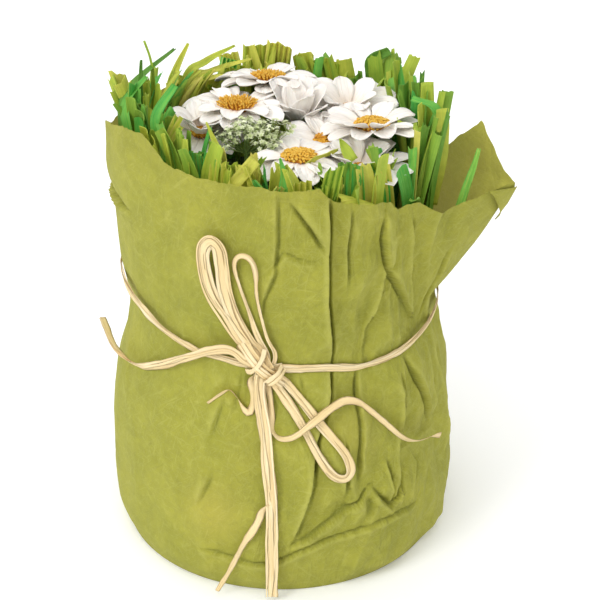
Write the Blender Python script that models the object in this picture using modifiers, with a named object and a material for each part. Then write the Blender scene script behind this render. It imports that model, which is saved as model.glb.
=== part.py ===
"""A round table bouquet: daisies and a collar of flat dyed strips, stood in a tub of foam,
wrapped in a sheet of green paper and tied at the waist with raffia.
Metres, +Z up. The origin is the centre of the flat base; the bow faces -Y."""
import math

import bmesh
import bpy
from mathutils import Matrix, Vector

MM = 0.001
GAP = 0.3          # clearance between touching pieces, mm

# Driving dimensions, mm. A profile's pairs are (height, outer radius).
PAPER_THICKNESS = 0.7
PAPER_COLUMNS = 60
BASE_RADIUS = 63.5
WRAP_PROFILE = [
    (0.0, 65.5), (3.0, 69.0), (8.0, 71.0), (24.0, 72.0), (50.0, 72.3), (70.0, 70.2),
    (90.0, 65.4), (99.0, 63.6), (107.0, 62.4), (114.0, 62.8), (123.0, 64.2), (142.0, 66.2), (169.0, 67.9),
]
WRAP_ROWS = [3.0, 8.0, 24.0, 44.0, 60.0, 76.0, 90.0, 99.0, 107.0, 116.0, 132.0, 150.0]
# The rim: (azimuth, height). Azimuth 0 is +X and -90 is the front.
RIM_LINE = [
    (-180, 182), (-170, 188), (-156, 194), (-140, 197.5), (-130, 189), (-105, 187), (-89, 185), (-77, 185),
    (-71, 178), (-50, 171), (-38, 167), (-24, 160), (-9, 161), (3, 179), (24, 150), (36, 158), (50, 167),
    (80, 173), (110, 174), (150, 175), (172, 177), (180, 182),
]
# The sheet's loose corner: its two walls run straight from the body to a fold that stands out.
FLAP_FOOT = 108.0                 # height at which the corner begins to leave the body
FLAP_FOLD = (-9.0, 160.0, 95.0)   # azimuth of the fold, and its height and radius at the rim
FLAP_FRONT_ROOT = -42.0           # azimuths where the two walls meet the body
FLAP_BACK_ROOT = 30.0

TUB_HEIGHT = 57.0
TUB_RADIUS = 69.0
TUB_FOOT_RADIUS = 62.0
TUB_WALL = 1.5
FOAM_SHOULDER = 52.0
FOAM_COLUMN_RADIUS = 52.5
FOAM_TOP = 152.0

STRIP_COUNT = 16
STRIP_OUTER_RADIUS = 60.2
STRIP_THICKNESS = 4.6
STRIP_TOOTH = 5.0            # how far every second tooth of a bundle's top stands above the next
STRIP_TOPS = [
    (-180, 203), (-150, 203), (-125, 197), (-90, 191), (-60, 186), (-30, 184), (0, 197), (30, 196),
    (90, 191), (130, 192), (180, 203),
]

STEM_RADIUS = 1.1
STEM_DEPTH = 30.0            # how far a stem goes into the foam
PETAL_THICKNESS = 1.0
# Name: place of the head's centre (x, y, z), head radius, petals, cup height, tilt (degrees) and its azimuth.
DAISIES = {
    "back": ((-5.2, 32.7, 184.5), 17.0, 11, 2.0, 10.0, 90.0),
    "left": ((-17.2, 5.2, 185.0), 18.0, 12, 2.0, 5.0, 90.0),
    "right": ((36.4, -6.5, 182.0), 16.5, 12, 2.0, 5.0, 90.0),
    "centre": ((18.5, -12.0, 176.0), 12.5, 10, 2.0, 4.0, -60.0),
    "front": ((7.5, -30.5, 180.0), 17.0, 11, 1.5, 3.0, 90.0),
    "cupped": ((7.0, 10.5, 174.5), 8.5, 9, 7.0, 0.0, 0.0),
    "back_right": ((27.5, 18.6, 176.5), 12.8, 10, 3.0, 5.0, -120.0),
    "low_left": ((-31.5, -3.0, 177.0), 13.0, 10, 2.5, 5.0, -90.0),
    "low_front_right": ((31.0, -26.0, 171.0), 12.5, 10, 2.5, 5.0, -60.0),
}
SPRIG_CENTRE = (-10.5, -17.9, 186.0)
SPRIG_HALF_SIZE = (12.0, 4.4, 3.4)
SPRIG_STEM_PLACE = (-13.0, -17.9)

# Raffia. A route's points are (azimuth, height, stand-off of the strand's middle from the paper).
KNOT_AZIMUTH = -95.5
KNOT_HEIGHT = 105.5
KNOT_HALF_SIZE = (6.0, 4.2, 5.5)
STRANDS = {
    "raffia_band": (2.8, [
        (-88.6, 106, 2.0), (-73, 105, 1.9), (-60, 102.5, 1.9), (-41, 102, 1.9), (-19, 104, 2.0), (5, 104.5, 2.1),
        (30, 105.5, 2.1), (60, 107.5, 2.1), (90, 110, 2.1), (120, 112.5, 2.1), (150, 115.5, 2.1), (175, 118, 2.1),
        (198, 119.5, 2.1), (212, 116.5, 2.0), (225, 112.5, 2.0), (240, 109, 1.9), (252, 107.6, 1.9), (257.9, 107, 2.0),
    ]),
    "raffia_loop_upper": (2.4, [
        (-98.2, 112.4, 2.8), (-103.5, 119, 2.2), (-108, 128, 1.9), (-113, 138, 1.9), (-115, 149, 2.2),
        (-114.6, 159, 2.8), (-111.5, 163.5, 3.2), (-108.6, 160.5, 3.0), (-107.8, 152, 2.4), (-107.2, 141, 2.0),
        (-104.5, 129, 2.0), (-99.6, 118, 2.4), (-97.3, 114.8, 2.8),
    ]),
    "raffia_loop_thin": (1.6, [
        (-94.6, 112.6, 2.4), (-97.6, 121, 1.6), (-101.5, 138, 1.5), (-104.2, 152, 1.9), (-102.6, 157.5, 2.4),
        (-99.4, 157, 2.4), (-97.6, 151, 1.8), (-97.3, 138, 1.5), (-94.6, 121, 1.6), (-91.8, 112.6, 2.4),
    ]),
    "raffia_loop_lower": (2.4, [
        (-91.0, 99.0, 2.8), (-87.8, 93, 2.4), (-84.5, 86, 2.0), (-81.5, 78.5, 1.9), (-76.8, 66, 1.9),
        (-73.2, 59, 2.2), (-69.6, 57, 2.6), (-67.3, 60, 2.4), (-68.5, 67, 1.9), (-73.2, 76, 1.9), (-77.4, 83.5, 2.0),
        (-80.8, 89.5, 2.2), (-84.6, 95.5, 2.5), (-88.0, 100.6, 3.0),
    ]),
    "raffia_tail_left": (2.6, [
        (-102.0, 110.6, 4.9), (-104.6, 113.6, 5.0), (-108, 114.8, 5.1), (-113.7, 112.6, 5.3), (-119, 109.2, 5.4),
        (-124.5, 105.3, 5.1), (-130, 101, 4.0), (-136, 96.6, 2.8), (-145, 91, 2.0), (-153, 88, 2.0),
        (-161, 86.5, 2.6), (-168, 86.5, 4.2), (-174, 88.5, 6.6), (-179, 92, 9.6),
    ]),
    "raffia_tail_down": (2.8, [
        (-97.0, 98.8, 2.6), (-96.6, 92, 2.2), (-95.6, 84, 2.2), (-94.8, 76, 2.0), (-93.8, 63, 2.0), (-92.9, 50, 2.0),
        (-92.7, 36, 2.0), (-92.6, 22, 2.2), (-92.7, 10, 3.4), (-92.8, 2.4, 6.6),
    ]),
    "raffia_tail_side": (2.0, [
        (-95.6, 44.5, 2.0), (-97.0, 39, 1.6), (-99.0, 33.5, 1.6), (-101.4, 28, 1.7), (-104.2, 20, 2.2),
        (-106.9, 12, 3.2), (-110.0, 3.4, 7.6),
    ]),
    "raffia_curl_left": (1.2, [
        (-100.0, 100.0, 1.2), (-99.7, 94, 1.1), (-99.7, 89, 1.1), (-100.7, 86.6, 1.2), (-102.4, 88.4, 1.4),
        (-104.4, 92.2, 1.6), (-107.5, 95.2, 1.6), (-111, 92.5, 1.4), (-115.3, 87.8, 1.6),
    ]),
    "raffia_curl_right": (1.2, [
        (-94.0, 98.8, 1.2), (-93.4, 92, 1.0), (-92.9, 84, 1.0), (-92.2, 79, 1.1), (-90, 76.8, 1.8), (-86.7, 77.8, 3.6),
        (-83.9, 80, 4.6), (-81.2, 82.8, 5.0), (-78, 85.4, 4.8), (-74.6, 87.9, 4.2), (-71, 89.6, 3.6),
        (-67.3, 90.2, 3.2), (-62.5, 87.6, 3.2), (-56.8, 80, 3.2), (-49.7, 69.2, 3.2), (-45.4, 64.2, 3.2),
        (-41.5, 61.6, 3.2), (-38, 60.6, 3.4), (-33, 59.2, 3.6), (-29, 56.6, 3.8),
    ]),
}
POINTS_PER_DIAMETER = 3.0    # spacing of a strand's spline points, in strand diameters

COLORS = {
    "wrapping_paper": (0.36, 0.36, 0.055),
    "tub_plastic": (0.05, 0.06, 0.03),
    "floral_foam": (0.05, 0.11, 0.03),
    "dyed_strips": (0.24, 0.36, 0.05),
    "petals": (0.91, 0.84, 0.75),
    "flower_disc": (0.67, 0.36, 0.05),
    "stem": (0.16, 0.26, 0.05),
    "florets": (0.45, 0.49, 0.25),
    "raffia": (0.83, 0.69, 0.36),
}


def interpolate(table, x):
    """Read a table of (x, value) pairs with straight steps between them."""
    if x <= table[0][0]:
        return table[0][1]
    for (x0, v0), (x1, v1) in zip(table, table[1:]):
        if x <= x1:
            return v0 + (v1 - v0) * (x - x0) / (x1 - x0)
    return table[-1][1]


def wrap_azimuth(azimuth):
    return (azimuth + 180.0) % 360.0 - 180.0


def rim_height(azimuth):
    return interpolate(RIM_LINE, wrap_azimuth(azimuth))


def straight_wall(azimuth, azimuth_a, radius_a, azimuth_b, radius_b):
    """Radius, at an azimuth, of the straight line in plan between two polar points."""
    from_a = radius_a * math.sin(math.radians(azimuth - azimuth_a))
    to_b = radius_b * math.sin(math.radians(azimuth_b - azimuth))
    return radius_a * radius_b * math.sin(math.radians(azimuth_b - azimuth_a)) / (from_a + to_b)


def paper_radius(azimuth, height):
    """Outer radius of the wrapped paper, loose corner and all."""
    body = interpolate(WRAP_PROFILE, height)
    azimuth = wrap_azimuth(azimuth)
    fold_azimuth, fold_height, fold_radius = FLAP_FOLD
    if height <= FLAP_FOOT or not FLAP_FRONT_ROOT < azimuth < FLAP_BACK_ROOT:
        return body
    risen = (height - FLAP_FOOT) / (fold_height - FLAP_FOOT)
    fold = body + (fold_radius - body) * min(risen, 1.0)
    root = FLAP_FRONT_ROOT if azimuth < fold_azimuth else FLAP_BACK_ROOT
    return max(body, straight_wall(azimuth, root, body, fold_azimuth, fold))


def polar(radius, azimuth, height):
    turn = math.radians(azimuth)
    return Vector((radius * math.cos(turn), radius * math.sin(turn), height)) * MM


def smooth_path(points, spacing):
    """A Catmull-Rom curve through the points, read at even steps of about the given spacing."""
    padded = [points[0] * 2 - points[1]] + points + [points[-1] * 2 - points[-2]]
    dense = []
    for p0, p1, p2, p3 in zip(padded, padded[1:], padded[2:], padded[3:]):
        for i in range(16):
            t = i / 16
            dense.append(0.5 * (
                2 * p1 + (p2 - p0) * t + (2 * p0 - 5 * p1 + 4 * p2 - p3) * t * t
                + (3 * p1 - p0 - 3 * p2 + p3) * t ** 3
            ))
    dense.append(points[-1])
    length = sum((b - a).length for a, b in zip(dense, dense[1:]))
    steps = max(4, round(length / spacing))
    path = [dense[0]]
    travelled = 0.0
    for a, b in zip(dense, dense[1:]):
        piece = (b - a).length
        while len(path) < steps and travelled + piece >= length * len(path) / steps:
            t = (length * len(path) / steps - travelled) / piece
            path.append(a.lerp(b, t))
        travelled += piece
    path.append(dense[-1])
    return path


def clear_scene():
    for obj in list(bpy.data.objects):
        bpy.data.objects.remove(obj, do_unlink=True)


def make_material(name, color, roughness):
    material = bpy.data.materials.new(name)
    material.use_nodes = True
    shader = material.node_tree.nodes["Principled BSDF"]
    shader.inputs["Base Color"].default_value = (*color, 1.0)
    shader.inputs["Roughness"].default_value = roughness
    shader.inputs["Metallic"].default_value = 0.0
    return material


def make_collection(name):
    collection = bpy.data.collections.new(name)
    bpy.context.scene.collection.children.link(collection)
    return collection


def add_mesh_object(name, bm, collection, material=None, smooth=True):
    mesh = bpy.data.meshes.new(name)
    bm.to_mesh(mesh)
    bm.free()
    if smooth:
        mesh.shade_smooth()
        mesh.set_sharp_from_angle(angle=math.radians(40.0))
    obj = bpy.data.objects.new(name, mesh)
    if material:
        mesh.materials.append(material)
    collection.objects.link(obj)
    return obj


def thicken(obj, thickness, offset):
    solidify = obj.modifiers.new("thickness", "SOLIDIFY")
    solidify.thickness = thickness * MM
    solidify.offset = offset


def make_wrapper(collection, material):
    """Start from the flat base disc and draw its edge up the outer surface, ring by ring, to the rim."""
    bm = bmesh.new()
    bmesh.ops.create_circle(bm, cap_ends=True, cap_tris=True, segments=PAPER_COLUMNS, radius=BASE_RADIUS * MM)
    bmesh.ops.reverse_faces(bm, faces=bm.faces)
    shares_to_rim = [0.25, 0.5, 0.75, 1.0]
    edge = [e for e in bm.edges if e.is_boundary]
    for row in [0.0] + WRAP_ROWS + shares_to_rim:
        grown = bmesh.ops.extrude_edge_only(bm, edges=edge)["geom"]
        edge = [g for g in grown if isinstance(g, bmesh.types.BMEdge) and g.is_boundary]
        for vert in [g for g in grown if isinstance(g, bmesh.types.BMVert)]:
            azimuth = math.degrees(math.atan2(vert.co.y, vert.co.x))
            height = row
            if row in shares_to_rim:
                height = WRAP_ROWS[-1] + (rim_height(azimuth) - WRAP_ROWS[-1]) * row
            vert.co = polar(paper_radius(azimuth, height), azimuth, height)
    bmesh.ops.recalc_face_normals(bm, faces=bm.faces)
    obj = add_mesh_object("paper_wrapper", bm, collection, material)
    thicken(obj, PAPER_THICKNESS, -1.0)
    return obj


def turned(name, profile, collection, material, steps=48):
    """A turned solid: the profile runs down its outer side at +X, closed on the axis."""
    bm = bmesh.new()
    verts = [bm.verts.new((radius * MM, 0.0, height * MM)) for radius, height in profile]
    for a, b in zip(verts, verts[1:]):
        bm.edges.new((a, b))
    obj = add_mesh_object(name, bm, collection, material, smooth=False)
    screw = obj.modifiers.new("turn", "SCREW")
    screw.steps = steps
    screw.render_steps = steps
    screw.use_merge_vertices = True
    screw.merge_threshold = 0.0001
    return obj


def make_tub(collection, material):
    floor = PAPER_THICKNESS + GAP
    inner = TUB_RADIUS - TUB_WALL
    profile = [
        (0.0, floor + TUB_WALL), (TUB_FOOT_RADIUS - TUB_WALL, floor + TUB_WALL), (inner, 11.0), (inner, TUB_HEIGHT),
        (TUB_RADIUS, TUB_HEIGHT), (TUB_RADIUS, 10.0), (TUB_FOOT_RADIUS, floor), (0.0, floor),
    ]
    return turned("base_tub", profile, collection, material)


def make_foam(collection, material, stem_places, cutters):
    floor = PAPER_THICKNESS + TUB_WALL + 2 * GAP
    inner = TUB_RADIUS - TUB_WALL - GAP
    profile = [
        (0.0, FOAM_TOP), (FOAM_COLUMN_RADIUS * 0.6, FOAM_TOP - 2.0), (FOAM_COLUMN_RADIUS - 3.0, FOAM_TOP - 9.0),
        (FOAM_COLUMN_RADIUS, FOAM_TOP - 16.0), (FOAM_COLUMN_RADIUS, FOAM_SHOULDER), (inner, FOAM_SHOULDER),
        (inner, 11.5), (TUB_FOOT_RADIUS - TUB_WALL - 2 * GAP, floor), (0.0, floor),
    ]
    foam = turned("foam_core", profile, collection, material)
    for i, (x, y) in enumerate(stem_places):
        bm = bmesh.new()
        radius = (STEM_RADIUS + GAP) * MM
        depth = (STEM_DEPTH + 20.0) * MM
        bmesh.ops.create_cone(bm, cap_ends=True, segments=10, radius1=radius, radius2=radius, depth=depth)
        cutter = add_mesh_object(f"stem_hole_{i + 1}", bm, cutters, smooth=False)
        cutter.location = Vector((x, y, foam_surface(x, y) - STEM_DEPTH - GAP)) * MM + Vector((0, 0, depth / 2))
        cutter.hide_render = True
        cutter.display_type = "WIRE"
        cut = foam.modifiers.new(f"hole_{i + 1}", "BOOLEAN")
        cut.operation = "DIFFERENCE"
        cut.object = cutter
    return foam


def foam_surface(x, y):
    """Height of the domed top of the foam above a place in plan."""
    share = math.hypot(x, y) / FOAM_COLUMN_RADIUS
    return FOAM_TOP - 2.0 - 9.0 * max(0.0, share - 0.5) * 2.0


def make_strip_bundle(index, collection, material):
    """A sheaf of upright strips: an arc of sheet with a toothed top, made thick inwards."""
    columns = 5
    rows = 3
    span = 360.0 / STRIP_COUNT
    side_gap = math.degrees(2 * GAP / STRIP_OUTER_RADIUS)
    start = -180.0 + index * span
    foot = FOAM_SHOULDER + GAP
    bm = bmesh.new()
    bmesh.ops.create_grid(bm, x_segments=columns, y_segments=rows, size=0.5)
    for vert in bm.verts:
        across = vert.co.x + 0.5
        up = vert.co.y + 0.5
        azimuth = start + side_gap + across * (span - 2 * side_gap)
        column = round(across * columns)
        top = interpolate(STRIP_TOPS, azimuth) - STRIP_TOOTH * (column % 2)
        vert.co = polar(STRIP_OUTER_RADIUS, azimuth, foot + up * (top - foot))
    obj = add_mesh_object(f"strip_bundle_{index + 1:02d}", bm, collection, material, smooth=False)
    thicken(obj, STRIP_THICKNESS, -1.0)
    return obj


def head_matrix(place, tilt, azimuth):
    """Stand on the head's place, leaning by tilt towards the azimuth."""
    turn = math.radians(azimuth)
    lean_axis = Vector((-math.sin(turn), math.cos(turn), 0.0))
    return Matrix.Translation(Vector(place) * MM) @ Matrix.Rotation(math.radians(tilt), 4, lean_axis)


def make_petals(name, spec, collection, material):
    """One whorl: a disc with an outline of round lobes, raised towards its edge."""
    place, radius, petals, cup, tilt, azimuth = spec
    ring_points = petals * 3
    bm = bmesh.new()
    bmesh.ops.create_circle(bm, cap_ends=True, cap_tris=True, segments=ring_points, radius=radius * 0.4 * MM)
    edge = [e for e in bm.edges if e.is_boundary]
    for share in (0.75, 1.0):
        grown = bmesh.ops.extrude_edge_only(bm, edges=edge)["geom"]
        edge = [g for g in grown if isinstance(g, bmesh.types.BMEdge) and g.is_boundary]
        for vert in [g for g in grown if isinstance(g, bmesh.types.BMVert)]:
            turn = math.atan2(vert.co.y, vert.co.x)
            lobe = 1.0 - (share - 0.4) * 0.22 * (1.0 - math.cos(petals * turn))
            vert.co = Vector((math.cos(turn), math.sin(turn), 0.0)) * radius * share * lobe * MM
            vert.co.z = cup * share * share * MM
    bmesh.ops.recalc_face_normals(bm, faces=bm.faces)
    if bm.faces[0].normal.z < 0:
        bmesh.ops.reverse_faces(bm, faces=bm.faces)
    obj = add_mesh_object(f"daisy_{name}_petals", bm, collection, material)
    obj.matrix_world = head_matrix(place, tilt, azimuth)
    thicken(obj, PETAL_THICKNESS, -1.0)
    return obj


def make_disc(name, spec, collection, material):
    """The flower's round middle: a flattened ball cut flat underneath, resting on the petals."""
    place, radius, _, cup, tilt, azimuth = spec
    disc_radius = radius * 0.34
    bm = bmesh.new()
    bmesh.ops.create_uvsphere(bm, u_segments=16, v_segments=8, radius=disc_radius * MM)
    cut = bmesh.ops.bisect_plane(
        bm, geom=bm.verts[:] + bm.edges[:] + bm.faces[:], plane_co=(0, 0, -0.0001), plane_no=(0, 0, -1),
        clear_outer=True,
    )
    rim = [g for g in cut["geom_cut"] if isinstance(g, bmesh.types.BMEdge)]
    bmesh.ops.edgeloop_fill(bm, edges=rim)
    bmesh.ops.recalc_face_normals(bm, faces=bm.faces)
    bmesh.ops.scale(bm, vec=(1.0, 1.0, 0.42), verts=bm.verts)
    obj = add_mesh_object(f"daisy_{name}_disc", bm, collection, material)
    lift = cup * 0.16 + GAP + 0.1
    obj.matrix_world = head_matrix(place, tilt, azimuth) @ Matrix.Translation((0, 0, lift * MM))
    return obj


def make_stem(name, place, foot, top, collection, material):
    bm = bmesh.new()
    depth = (top - foot) * MM
    bmesh.ops.create_cone(
        bm, cap_ends=True, segments=8, radius1=STEM_RADIUS * MM, radius2=STEM_RADIUS * MM, depth=depth,
    )
    obj = add_mesh_object(name, bm, collection, material)
    obj.location = Vector((place[0], place[1], foot)) * MM + Vector((0, 0, depth / 2))
    return obj


def make_ball(name, half_size, matrix, collection, material):
    bm = bmesh.new()
    bmesh.ops.create_uvsphere(bm, u_segments=16, v_segments=10, radius=MM)
    bmesh.ops.scale(bm, vec=half_size, verts=bm.verts)
    obj = add_mesh_object(name, bm, collection, material)
    obj.matrix_world = matrix
    return obj


def make_knot(collection, material):
    stand = KNOT_HALF_SIZE[1] + GAP + 0.3
    centre = polar(paper_radius(KNOT_AZIMUTH, KNOT_HEIGHT) + stand, KNOT_AZIMUTH, KNOT_HEIGHT)
    facing = Matrix.Rotation(math.radians(KNOT_AZIMUTH + 90.0), 4, "Z")
    return make_ball("raffia_knot", KNOT_HALF_SIZE, Matrix.Translation(centre) @ facing, collection, material)


def make_strand(name, diameter, route, collection, material):
    points = [polar(paper_radius(azimuth, height) + stand, azimuth, height) for azimuth, height, stand in route]
    path = smooth_path(points, diameter * POINTS_PER_DIAMETER * MM)
    curve = bpy.data.curves.new(name, "CURVE")
    curve.dimensions = "3D"
    curve.bevel_depth = diameter / 2 * MM
    curve.bevel_resolution = 2
    curve.use_fill_caps = True
    spline = curve.splines.new("POLY")
    spline.points.add(len(path) - 1)
    for point, co in zip(spline.points, path):
        point.co = (*co, 1.0)
    curve.materials.append(material)
    obj = bpy.data.objects.new(name, curve)
    collection.objects.link(obj)
    return obj


def main():
    clear_scene()
    parts = make_collection("daisy_bouquet")
    cutters = make_collection("cutters")
    materials = {name: make_material(name, color, 0.8) for name, color in COLORS.items()}

    make_wrapper(parts, materials["wrapping_paper"])
    make_tub(parts, materials["tub_plastic"])
    stem_places = [spec[0][:2] for spec in DAISIES.values()] + [SPRIG_STEM_PLACE]
    make_foam(parts, materials["floral_foam"], stem_places, cutters)

    for index in range(STRIP_COUNT):
        make_strip_bundle(index, parts, materials["dyed_strips"])

    for name, spec in DAISIES.items():
        make_petals(name, spec, parts, materials["petals"])
        make_disc(name, spec, parts, materials["flower_disc"])
        x, y, z = spec[0]
        foot = foam_surface(x, y) - STEM_DEPTH
        top = z - PETAL_THICKNESS - GAP - 0.2 - STEM_RADIUS * math.tan(math.radians(spec[4]))
        make_stem(f"daisy_{name}_stem", (x, y), foot, top, parts, materials["stem"])

    make_ball("sprig_florets", SPRIG_HALF_SIZE, Matrix.Translation(Vector(SPRIG_CENTRE) * MM), parts, materials["florets"])
    x, y = SPRIG_STEM_PLACE
    sprig_foot = foam_surface(x, y) - STEM_DEPTH
    sprig_top = SPRIG_CENTRE[2] - SPRIG_HALF_SIZE[2] - GAP
    make_stem("sprig_stem", (x, y), sprig_foot, sprig_top, parts, materials["stem"])

    make_knot(parts, materials["raffia"])
    for name, (diameter, route) in STRANDS.items():
        make_strand(name, diameter, route, parts, materials["raffia"])


main()
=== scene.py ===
# %% [markdown]
# # A bouquet of daisies in green paper
# The real object stands on a table by itself. A tub of foam holds the stems, a collar of flat dyed strips
# hides them, a sheet of fibrous paper is wrapped round the lot, and raffia ties it at the waist.
# The hidden parts come from the packed model. This script makes what the eye sees: the paper with its
# creases, the raffia, the separate strips, the petals and the tiny blossoms, each where the model has it.

# %% Load the packed model
import math
import random

import bpy
import numpy as np
from mathutils import Matrix, Vector


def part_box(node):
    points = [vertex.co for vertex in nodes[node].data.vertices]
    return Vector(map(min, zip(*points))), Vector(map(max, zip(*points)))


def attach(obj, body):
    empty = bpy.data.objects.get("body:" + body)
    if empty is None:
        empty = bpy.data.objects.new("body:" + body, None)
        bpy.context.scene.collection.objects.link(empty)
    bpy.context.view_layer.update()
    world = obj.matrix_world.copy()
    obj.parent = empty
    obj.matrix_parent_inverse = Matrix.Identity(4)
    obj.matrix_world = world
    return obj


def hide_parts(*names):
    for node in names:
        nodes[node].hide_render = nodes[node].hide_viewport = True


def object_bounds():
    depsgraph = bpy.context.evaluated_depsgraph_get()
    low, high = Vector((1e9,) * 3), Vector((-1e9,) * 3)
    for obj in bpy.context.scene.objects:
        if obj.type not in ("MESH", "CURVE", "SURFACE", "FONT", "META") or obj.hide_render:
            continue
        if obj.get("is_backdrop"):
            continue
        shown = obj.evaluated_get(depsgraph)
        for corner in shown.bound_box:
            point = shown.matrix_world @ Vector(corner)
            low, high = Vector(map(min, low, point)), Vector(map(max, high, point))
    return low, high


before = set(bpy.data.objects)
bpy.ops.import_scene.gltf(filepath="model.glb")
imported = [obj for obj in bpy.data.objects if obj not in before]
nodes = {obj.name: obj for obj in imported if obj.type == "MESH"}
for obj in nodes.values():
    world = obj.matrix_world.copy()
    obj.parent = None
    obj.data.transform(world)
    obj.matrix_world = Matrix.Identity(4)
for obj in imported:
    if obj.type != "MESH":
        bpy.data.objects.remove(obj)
CAD_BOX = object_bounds()
MM = 0.001
print("nodes in the frame:", len(nodes))

# %% [markdown]
# ## The camera
# The bouquet is looked at from above, at about thirty degrees, with a long lens. A long lens keeps the
# round base from swelling towards the viewer, as a close, wide one would make it do.

# %% Place the camera
AIM = Vector((7.9, 0.0, 99.5)) * MM
LOOK_DOWN = math.radians(30.0)
DISTANCE = 0.95
camera = bpy.data.objects.new("view", bpy.data.cameras.new("view"))
camera.data.sensor_width = 36.0
camera.data.lens = 136.8
camera.location = AIM + Vector((0.0, -math.cos(LOOK_DOWN), math.sin(LOOK_DOWN))) * DISTANCE
camera.rotation_euler = (math.pi / 2 - LOOK_DOWN, 0.0, 0.0)
bpy.context.scene.collection.objects.link(camera)
bpy.context.scene.camera = camera
print("camera is", round(DISTANCE, 2), "m away")

# %% [markdown]
# ## Where the paper is
# Everything leans on the wrapped paper, so its outer radius is one function of direction and height.
# Azimuth 0 points to the right and -90 to the viewer. Sizes are in millimetres until a mesh is made.
# The sheet has one loose corner: two straight walls that meet in a fold, which stands out at the right.

# %% The shape of the wrapped paper
WRAP_PROFILE = [
    (0.0, 65.5), (3.0, 69.0), (8.0, 71.0), (24.0, 72.0), (50.0, 72.3), (70.0, 70.2),
    (90.0, 65.4), (99.0, 63.6), (107.0, 62.4), (114.0, 62.8), (123.0, 64.2), (142.0, 66.2), (169.0, 67.9),
]
FLAP_FOOT = 108.0
FLAP_FOLD = (-9.0, 160.0, 95.0)   # azimuth, height and radius of the corner's fold at the rim
FLAP_FRONT_ROOT = -42.0
FLAP_BACK_ROOT = 30.0


def straight_wall(azimuth, azimuth_a, radius_a, azimuth_b, radius_b):
    """Radius, at an azimuth, of the straight line in plan between two polar points."""
    from_a = radius_a * np.sin(np.radians(azimuth - azimuth_a))
    to_b = radius_b * np.sin(np.radians(azimuth_b - azimuth))
    return radius_a * radius_b * math.sin(math.radians(azimuth_b - azimuth_a)) / (from_a + to_b)


def wrapped_radius(azimuth, height, body):
    """The body's radius, with the loose corner's walls standing out of it."""
    azimuth = (np.asarray(azimuth, float) + 180.0) % 360.0 - 180.0
    fold_azimuth, fold_height, fold_radius = FLAP_FOLD
    risen = np.clip((height - FLAP_FOOT) / (fold_height - FLAP_FOOT), 0.0, 1.0)
    fold = body + (fold_radius - body) * risen
    front = straight_wall(azimuth, FLAP_FRONT_ROOT, body, fold_azimuth, fold)
    back = straight_wall(azimuth, FLAP_BACK_ROOT, body, fold_azimuth, fold)
    wall = np.where(azimuth < fold_azimuth, front, back)
    at_corner = (azimuth > FLAP_FRONT_ROOT) & (azimuth < FLAP_BACK_ROOT) & (height > FLAP_FOOT)
    return np.where(at_corner, np.maximum(body, wall), body)


def paper_radius(azimuth, height):
    heights, radii = zip(*WRAP_PROFILE)
    return wrapped_radius(azimuth, height, np.interp(height, heights, radii))


def polar(radius, azimuth, height):
    turn = np.radians(azimuth)
    return np.stack(np.broadcast_arrays(radius * np.cos(turn), radius * np.sin(turn), height), axis=-1)


print("radius at the waist behind:", round(float(paper_radius(90.0, 107.0)), 1), "mm")

# %% [markdown]
# ## Repeatable unevenness
# Nothing handmade is even. A small lattice noise, worked out from the coordinates alone, gives the same
# bumps on every run. With a period it closes on itself, so no seam shows where the paper comes round.

# %% Noise helpers
def lattice(ix, iy, seed):
    wave = np.sin(ix * 127.1 + iy * 311.7 + seed * 74.7) * 43758.5453
    return (wave - np.floor(wave)) * 2.0 - 1.0


def soft_noise(x, y, seed, period=None):
    """Smooth noise from -1 to 1 over a grid of unit cells."""
    x, y = np.broadcast_arrays(np.asarray(x, float), np.asarray(y, float))
    ix, iy = np.floor(x), np.floor(y)
    fx, fy = x - ix, y - iy
    fx, fy = fx * fx * (3 - 2 * fx), fy * fy * (3 - 2 * fy)
    jx = ix + 1
    if period:
        ix, jx = ix % period, jx % period
    low = lattice(ix, iy, seed) * (1 - fx) + lattice(jx, iy, seed) * fx
    high = lattice(ix, iy + 1, seed) * (1 - fx) + lattice(jx, iy + 1, seed) * fx
    return low * (1 - fy) + high * fy


def creased_noise(x, y, seed, period=None):
    """Noise folded along its zero line, which leaves sharp creases between soft facets."""
    return 1.0 - 2.0 * np.abs(soft_noise(x, y, seed, period))


def facet_noise(x, y, seed, period=None):
    """Noise from -1 to 1 made of flat triangles, as paper is between its creases."""
    x, y = np.broadcast_arrays(np.asarray(x, float), np.asarray(y, float))
    x = x + 0.35 * soft_noise(x, y * 1.3, seed + 7.0, period)
    ix, iy = np.floor(x), np.floor(y)
    fx, fy = x - ix, y - iy
    jx = ix + 1
    if period:
        ix, jx = ix % period, jx % period
    a, b = lattice(ix, iy, seed), lattice(jx, iy, seed)
    c, d = lattice(ix, iy + 1, seed), lattice(jx, iy + 1, seed)
    rising = np.where(fx > fy, a + fx * (b - a) + fy * (d - b), a + fy * (c - a) + fx * (d - c))
    falling = np.where(
        fx + fy < 1, a + fx * (b - a) + fy * (c - a), d + (1 - fx) * (c - d) + (1 - fy) * (b - d),
    )
    return np.where(lattice(ix, iy, seed + 3.0) > 0, rising, falling)


print("noise at one place:", round(float(soft_noise(0.3, 0.7, 1.0)), 3))

# %% [markdown]
# ## Collecting flat pieces into one mesh
# Paper, raffia, strips and petals are all thin sheets. Each is a grid of points, so one small collector
# can gather many grids into one object, with a UV map in millimetres for the materials and a value per
# piece called shade, which lets one material give every strip or petal a colour of its own.

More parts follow.
